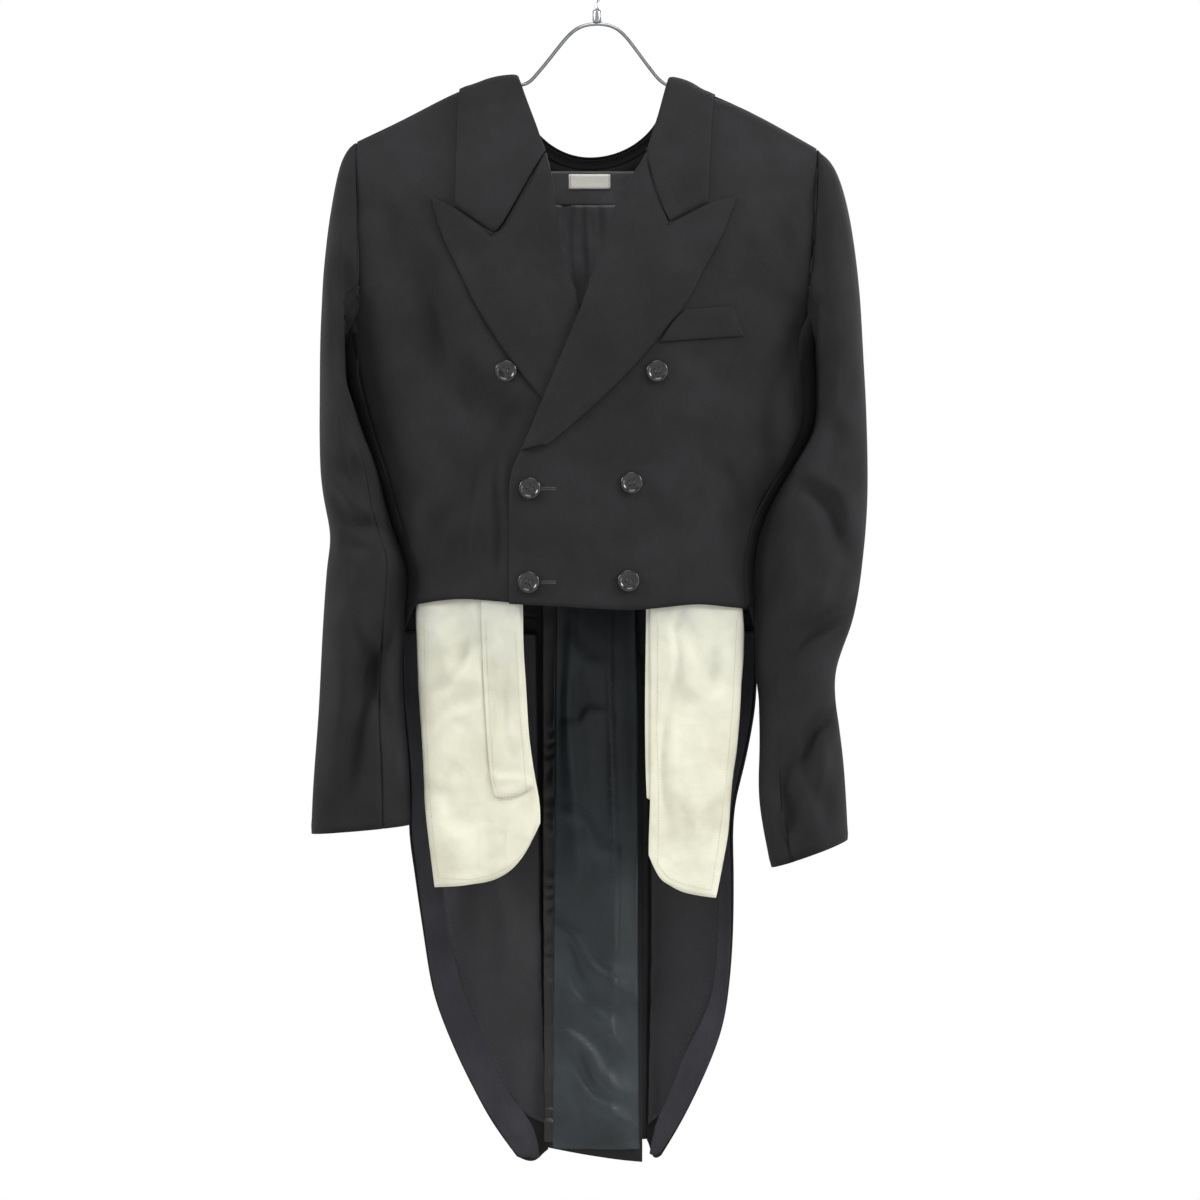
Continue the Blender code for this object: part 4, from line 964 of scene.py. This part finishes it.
RIGHT_BAG = [(-164, 640, -112, 712, 12, 4.0), (-156, 712, -96, 652, 8, -3.0),
             (-150, 742, -112, 716, 6, 2.2), (-142, 730, -138, 872, 14, 3.2),
             (-101, 640, -95, 800, 6, -3.0), (-158, 790, -118, 838, 9, -2.4),
             (-74, 640, -62, 800, 6, 2.8), (-120, 620, -124, 700, 7, -2.2),
             (-90, 700, -72, 776, 5, -2.0), (-104, 780, -60, 792, 4, 1.6)]
LEFT_BAG = [(58, 650, 112, 726, 11, 3.8), (126, 636, 84, 724, 9, -3.2),
            (104, 740, 96, 874, 13, 3.0), (60, 700, 64, 860, 6, -2.8),
            (124, 760, 106, 884, 9, 2.4), (66, 640, 62, 740, 5, 2.4),
            (76, 620, 72, 700, 6, -1.8), (84, 800, 70, 874, 8, -1.8)]
for side, rows, patch in (("right", RIGHT_BAG, PATCH), ("left", LEFT_BAG, None)):
    for part in ("pocket_bag_", "pocket_layer_"):
        make_sheet(part + side, 1.1, COTTON, "hanging", (0, 0.4), valley=0.3, proud=0.5,
                   extra=bag_folds(rows, patch))

# %% [markdown]
# ## Hanger
#
# The hanger is one sprung wire with an arch at the neck, a short ferrule and a hook. The CAD has
# it as tubes of few sides. The same smoothing as above rounds them, because a tube's own points
# already lie on its surface.

# %% Hanger pieces


def smooth_solid(node, levels, finish):
    """A rounded copy of a closed CAD solid."""
    shape = cad_shape(node)
    pair_triangles(shape, 50)
    piece = put("bright_" + node, mesh_of(shape, node))
    smooth_through(piece, levels)
    dress(piece.data, finish)
    PIECES[node] = piece
    return piece


for node in ("hanger_wire", "hanger_hook", "hanger_collar"):
    made = smooth_solid(node, 2, CHROME)
    print(node, len(made.data.polygons), "faces")

# %% [markdown]
# ## Buttons
#
# Each button is turned from a blank: a rounded back, a thick rim and a dished middle with four
# holes. One profile is spun round, the holes are cut by a Boolean, and the shape is copied to the
# six places. A place and a direction are read from each CAD button, so none can drift.

# %% The button's shape
BUTTON_PROFILE = [(0.0, 0.0), (7.6, 0.0), (9.2, 0.5), (10.0, 1.3), (10.15, 2.0), (9.9, 2.8),
                  (9.2, 3.35), (8.4, 3.4), (7.6, 3.1), (6.9, 2.5), (6.1, 2.25), (0.0, 2.1)]
HOLE_SPREAD = 1.95
HOLE_RADIUS = 0.95


def button_mesh():
    shape = bmesh.new()
    verts = [shape.verts.new((r * MM, 0, h * MM)) for r, h in BUTTON_PROFILE]
    edges = [shape.edges.new(pair) for pair in zip(verts, verts[1:])]
    bmesh.ops.spin(shape, geom=verts + edges, axis=(0, 0, 1), cent=(0, 0, 0),
                   angle=2 * math.pi, steps=40, use_merge=True)
    bmesh.ops.remove_doubles(shape, verts=shape.verts, dist=0.01 * MM)
    bmesh.ops.recalc_face_normals(shape, faces=shape.faces)
    blank = put("blank", mesh_of(shape, "button"))
    drills = []
    for x in (-HOLE_SPREAD, HOLE_SPREAD):
        for y in (-HOLE_SPREAD, HOLE_SPREAD):
            drill = bmesh.new()
            bmesh.ops.create_cone(drill, segments=12, radius1=HOLE_RADIUS * MM,
                                  radius2=HOLE_RADIUS * MM, depth=12 * MM, cap_ends=True)
            bmesh.ops.translate(drill, verts=drill.verts, vec=(x * MM, y * MM, 0))
            drills.append(put("drill", mesh_of(drill, "drill")))
            cut = blank.modifiers.new("hole", "BOOLEAN")
            cut.operation = "DIFFERENCE"
            cut.object = drills[-1]
    done = evaluated(blank)
    bpy.data.objects.remove(blank)
    for drill in drills:
        bpy.data.objects.remove(drill)
    dress(done)
    done.set_sharp_from_angle(angle=math.radians(40))
    return done


BUTTON = button_mesh()
print("button:", len(BUTTON.polygons), "faces")

# %% [markdown]
# The thread that holds a button runs through its holes in two parallel bars, and between button
# and cloth it makes a short shank. Both are bent tubes, small but seen as a glint across the
# holes.

# %% Buttons in place


def tube(shape, route, radius, sides=6):
    """Adds a closed round tube along a short route to a bmesh."""
    rings = []
    for index, point in enumerate(route):
        before = route[max(index - 1, 0)]
        after = route[min(index + 1, len(route) - 1)]
        way = (after - before).normalized()
        side = way.orthogonal().normalized()
        other = way.cross(side)
        angles = [2 * math.pi * step / sides for step in range(sides)]
        rings.append([shape.verts.new(point + (side * math.cos(angle) +
                                               other * math.sin(angle)) * radius)
                      for angle in angles])
    for first, second in zip(rings, rings[1:]):
        shift = min(range(sides), key=lambda s: (first[0].co - second[s].co).length)
        for step in range(sides):
            shape.faces.new((first[step], first[(step + 1) % sides],
                             second[(step + 1 + shift) % sides], second[(step + shift) % sides]))
    shape.faces.new(rings[0])
    shape.faces.new(list(reversed(rings[-1])))


def button_thread():
    shape = bmesh.new()
    for x in (-HOLE_SPREAD, HOLE_SPREAD):
        for shift in (-0.35, 0.35):
            route = [Vector((x + shift, side * HOLE_SPREAD * reach, height)) * MM
                     for side, reach, height in ((-1, 1.0, 0.6), (-1, 0.95, 2.2), (-1, 0.7, 2.75),
                                                 (1, 0.0, 2.9), (1, 0.7, 2.75), (1, 0.95, 2.2),
                                                 (1, 1.0, 0.6))]
            tube(shape, route, 0.32 * MM)
    tube(shape, [Vector((0, 0, -0.85)) * MM, Vector((0, 0, 0.05)) * MM], 1.5 * MM, 10)
    bmesh.ops.recalc_face_normals(shape, faces=shape.faces)
    mesh = mesh_of(shape, "thread")
    dress(mesh)
    return mesh


def button_place(node):
    """A matrix that puts a button where its CAD solid lies.

    Its axes are right-handed, because a mirrored button would be inside out.
    """
    points = points_of(NODES[node].data)
    centre = points.mean(axis=0)
    spread = np.linalg.svd(points - centre)[2]
    way = Vector(spread[2])
    if way.y > 0:
        way = -way
    across = Vector((0, 0, 1)).cross(way).normalized()
    up = way.cross(across)
    turn = Matrix((across, up, way)).transposed().to_4x4()
    back = min((Vector(p) - Vector(centre)).dot(way) for p in points)
    turn.translation = Vector(centre) + way * back
    return turn


THREAD = button_thread()
TURNS = {"button_top_right": -8, "button_top_left": 14, "button_middle_right": -38,
         "button_middle_left": 5, "button_waist_right": -21, "button_waist_left": -40}
for node, turn in TURNS.items():
    place = button_place(node) @ Matrix.Rotation(math.radians(turn), 4, "Z")
    for name, source, finish in ((node, BUTTON, HORN), (node + "_thread", THREAD, BLACK_THREAD)):
        mesh = source.copy()
        mesh.transform(place)
        dress(mesh, finish)
        PIECES[name] = put("sewn_" + name, mesh)
print("buttons:", len(TURNS))

# %% [markdown]
# ## Stitches with Geometry Nodes
#
# A row of stitches is one short thread shape repeated at an even pitch along a path. A Geometry
# Nodes tree does this well: it resamples the path, puts a small capsule on every point, turns it
# along the path, then realizes the copies. Pitch, length and thickness are named inputs, in
# metres, and every stitch gets a slightly different angle from a fixed seed.

# %% The stitch tree


def stitch_tree():
    tree = bpy.data.node_groups.new("row of stitches", "GeometryNodeTree")
    face = tree.interface
    face.new_socket("Geometry", in_out="INPUT", socket_type="NodeSocketGeometry")
    for name in ("Pitch", "Length", "Thickness", "Slant", "Wobble"):
        face.new_socket(name, in_out="INPUT", socket_type="NodeSocketFloat")
    face.new_socket("Seed", in_out="INPUT", socket_type="NodeSocketInt")
    face.new_socket("Thread", in_out="INPUT", socket_type="NodeSocketMaterial")
    face.new_socket("Geometry", in_out="OUTPUT", socket_type="NodeSocketGeometry")
    given = add(tree, "NodeGroupInput").outputs
    path = add(tree, "GeometryNodeMeshToCurve", links={0: given["Geometry"]})
    steps = add(tree, "GeometryNodeResampleCurve", {"mode": "LENGTH"},
                {"Curve": path.outputs[0], "Length": given["Pitch"]})
    way = add(tree, "GeometryNodeInputTangent")
    up = add(tree, "GeometryNodeInputNamedAttribute", {"data_type": "FLOAT_VECTOR"})
    up.inputs["Name"].default_value = "out"
    stitch = add(tree, "GeometryNodeMeshIcoSphere", {"Radius": 0.5, "Subdivisions": 2})
    along = add(tree, "FunctionNodeAlignRotationToVector", {"axis": "X"},
                {"Vector": way.outputs[0]})
    flat = add(tree, "FunctionNodeAlignRotationToVector", {"axis": "Z", "pivot_axis": "X"},
               {"Rotation": along.outputs[0], "Vector": up.outputs["Attribute"]})
    loose = reckon(tree, "MULTIPLY", given["Wobble"], -1.0)
    spin = add(tree, "FunctionNodeRandomValue", {"data_type": "FLOAT"},
               {2: loose, 3: given["Wobble"], "Seed": given["Seed"]})
    total = reckon(tree, "ADD", spin.outputs[1], given["Slant"])
    turn = add(tree, "ShaderNodeCombineXYZ", links={"Z": total})
    as_turn = add(tree, "FunctionNodeEulerToRotation", links={0: turn.outputs[0]})
    turned = add(tree, "FunctionNodeRotateRotation", {"rotation_space": "LOCAL"},
                 {"Rotation": flat.outputs[0], "Rotate By": as_turn.outputs[0]})
    size = add(tree, "ShaderNodeCombineXYZ", links={"X": given["Length"], "Y": given["Thickness"],
                                                    "Z": given["Thickness"]})
    copies = add(tree, "GeometryNodeInstanceOnPoints",
                 links={"Points": steps.outputs[0], "Instance": stitch.outputs["Mesh"],
                        "Rotation": turned.outputs[0], "Scale": size.outputs[0]})
    real = add(tree, "GeometryNodeRealizeInstances", links={0: copies.outputs[0]})
    done = add(tree, "GeometryNodeSetMaterial", links={"Geometry": real.outputs[0],
                                                       "Material": given["Thread"]})
    add(tree, "NodeGroupOutput", links={0: done.outputs[0]})
    return tree


STITCHES = stitch_tree()


def row_of_stitches(name, route, ways, finish, pitch, length, thickness, slant=0.0, wobble=0.12,
                    seed=1):
    """A plain mesh of stitches along a route of points, each lying flat on its way out."""
    mesh = bpy.data.meshes.new(name)
    mesh.from_pydata([tuple(p) for p in route], [(i, i + 1) for i in range(len(route) - 1)], [])
    out = mesh.attributes.new("out", "FLOAT_VECTOR", "POINT")
    out.data.foreach_set("vector", np.array([tuple(w) for w in ways], np.float32).ravel())
    piece = put(name, mesh)
    sewn = piece.modifiers.new("stitches", "NODES")
    sewn.node_group = STITCHES
    values = {"Pitch": pitch * MM, "Length": length * MM, "Thickness": thickness * MM,
              "Slant": slant, "Wobble": wobble, "Seed": seed, "Thread": finish}
    for socket in STITCHES.interface.items_tree:
        if socket.in_out == "INPUT" and socket.name in values:
            sewn[socket.identifier] = values[socket.name]
    made = evaluated(piece)
    piece.modifiers.remove(sewn)
    piece.data = made
    bpy.data.meshes.remove(mesh)
    dress(made)
    PIECES[name] = piece
    return piece


print("stitch tree:", len(STITCHES.nodes), "nodes")

# %% [markdown]
# A row has to lie on its cloth. A ray from in front, or from behind, finds the dressed surface at
# each point of a path that is drawn in the front view, in millimetres. The row is then lifted by
# half a thread.

# %% Rows on the cloth


def surface(node):
    """A search tree of a dressed piece."""
    mesh = PIECES[node].data
    return BVHTree.FromPolygons([v.co for v in mesh.vertices], [p.vertices[:] for p in mesh.polygons])


def on_cloth(tree, path, step, lift, side=-1):
    """Points and outward ways on a piece along a path of x and drop, in millimetres."""
    route, ways = [], []
    for (x0, d0), (x1, d1) in zip(path, path[1:]):
        count = max(int(math.hypot(x1 - x0, d1 - d0) / step), 1)
        for index in range(count + 1):
            if index == 0 and route:
                continue
            share = index / count
            x = x0 + (x1 - x0) * share
            drop = d0 + (d1 - d0) * share
            start = Vector((x * MM, side * 0.6, -drop * MM))
            hit = tree.ray_cast(start, Vector((0, -side, 0)))
            if hit[0] is not None:
                way = hit[1] if hit[1].y * side > 0 else -hit[1]
                route.append(hit[0] + way * lift * MM)
                ways.append(way)
    return route, ways


def sew(name, node, path, finish, pitch=3.2, length=2.6, thickness=0.45, step=4.0, side=-1, **more):
    route, ways = on_cloth(surface(node), path, step, thickness * 0.2, side)
    if len(route) < 2:
        print("no cloth under", name)
        return
    made = row_of_stitches(name, route, ways, finish, pitch, length, thickness, **more)
    print(name, len(route), "points,", len(made.data.polygons), "faces")


# %% [markdown]
# The pocket bags are closed by a row about 5 mm inside their edge. Real stitches there are 2.5 mm
# long and a quarter of a millimetre thick, which is finer than a pixel, so the thread is drawn
# twice as thick. The label is held by a small bar of stitches at each end.

# %% Stitch rows on the bags and the label
sew("stitch_bag_right", "pocket_bag_right",
    [(-161, 640), (-160, 720), (-156, 790), (-152, 845), (-147, 879), (-115, 880), (-98, 876),
     (-82, 868), (-68, 855), (-60, 842), (-57, 830)], IVORY_THREAD)
sew("stitch_bag_right_edge", "pocket_layer_right", [(-75, 650), (-71, 730), (-65, 800)],
    IVORY_THREAD)
sew("stitch_layer_right", "pocket_layer_right",
    [(-103, 640), (-100, 720), (-95.5, 790), (-92, 799), (-64, 801)], IVORY_THREAD)
sew("stitch_bag_left", "pocket_bag_left",
    [(56, 640), (55.5, 740), (57, 800), (57, 840), (56, 866), (66, 878), (80, 884), (106, 890),
     (113, 845), (120, 790), (126, 720), (130, 640)], IVORY_THREAD)
sew("stitch_label_right", "neck_label", [(-25.3, 216.5), (-25.3, 226.5)], IVORY_THREAD, 1.6, 1.3, 0.5)
sew("stitch_label_left", "neck_label", [(11.2, 216.5), (11.2, 226.5)], IVORY_THREAD, 1.6, 1.3, 0.5)

# %% [markdown]
# The vent's lining is felled by hand, with small slanting stitches in a long row. The facing is
# sewn to the lining in the same way. A buttonhole is a slit with thread laid over both lips, side
# by side, which is the same tree with a close pitch and the stitches turned across the path.

# %% Stitch rows on the coat
sew("stitch_vent", "vent_lining", [(14, 700), (13, 860), (12, 1050)], BLACK_THREAD, 9.0, 4.2, 0.6,
    slant=1.1)
sew("stitch_facing_right", "tail_lining_right",
    [(-142, 915), (-133, 955), (-121, 998), (-104, 1037), (-91, 1070), (-80, 1090)],
    BLACK_THREAD, 4.5, 2.6, 0.5, slant=0.7)
sew("stitch_facing_left", "tail_lining_left",
    [(113, 915), (110, 955), (103.5, 998), (86, 1037), (71.5, 1068)],
    BLACK_THREAD, 4.5, 2.6, 0.5, slant=0.7)
for name, y in (("middle", 517.7), ("waist", 604.2)):
    for lip, shift in (("upper", -0.9), ("lower", 0.9)):
        sew(f"buttonhole_{name}_{lip}", "front_left",
            [(-51.4, y + shift), (-38.0, y + shift)], BLACK_THREAD, 0.75, 1.9, 0.7, 1.5,
            slant=math.pi / 2, wobble=0.08)

# %% [markdown]
# ## One body
#
# Every piece rides on the one body, and stands for its CAD solid, which is hidden.

# %% Ride and replace
for name, piece in PIECES.items():
    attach(piece, "root")
    if name in NODES:
        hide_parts(name)
    finish = piece.data.materials[0]
total = sum(len(p.data.polygons) for p in PIECES.values())
print("pieces:", len(PIECES), "faces:", total)
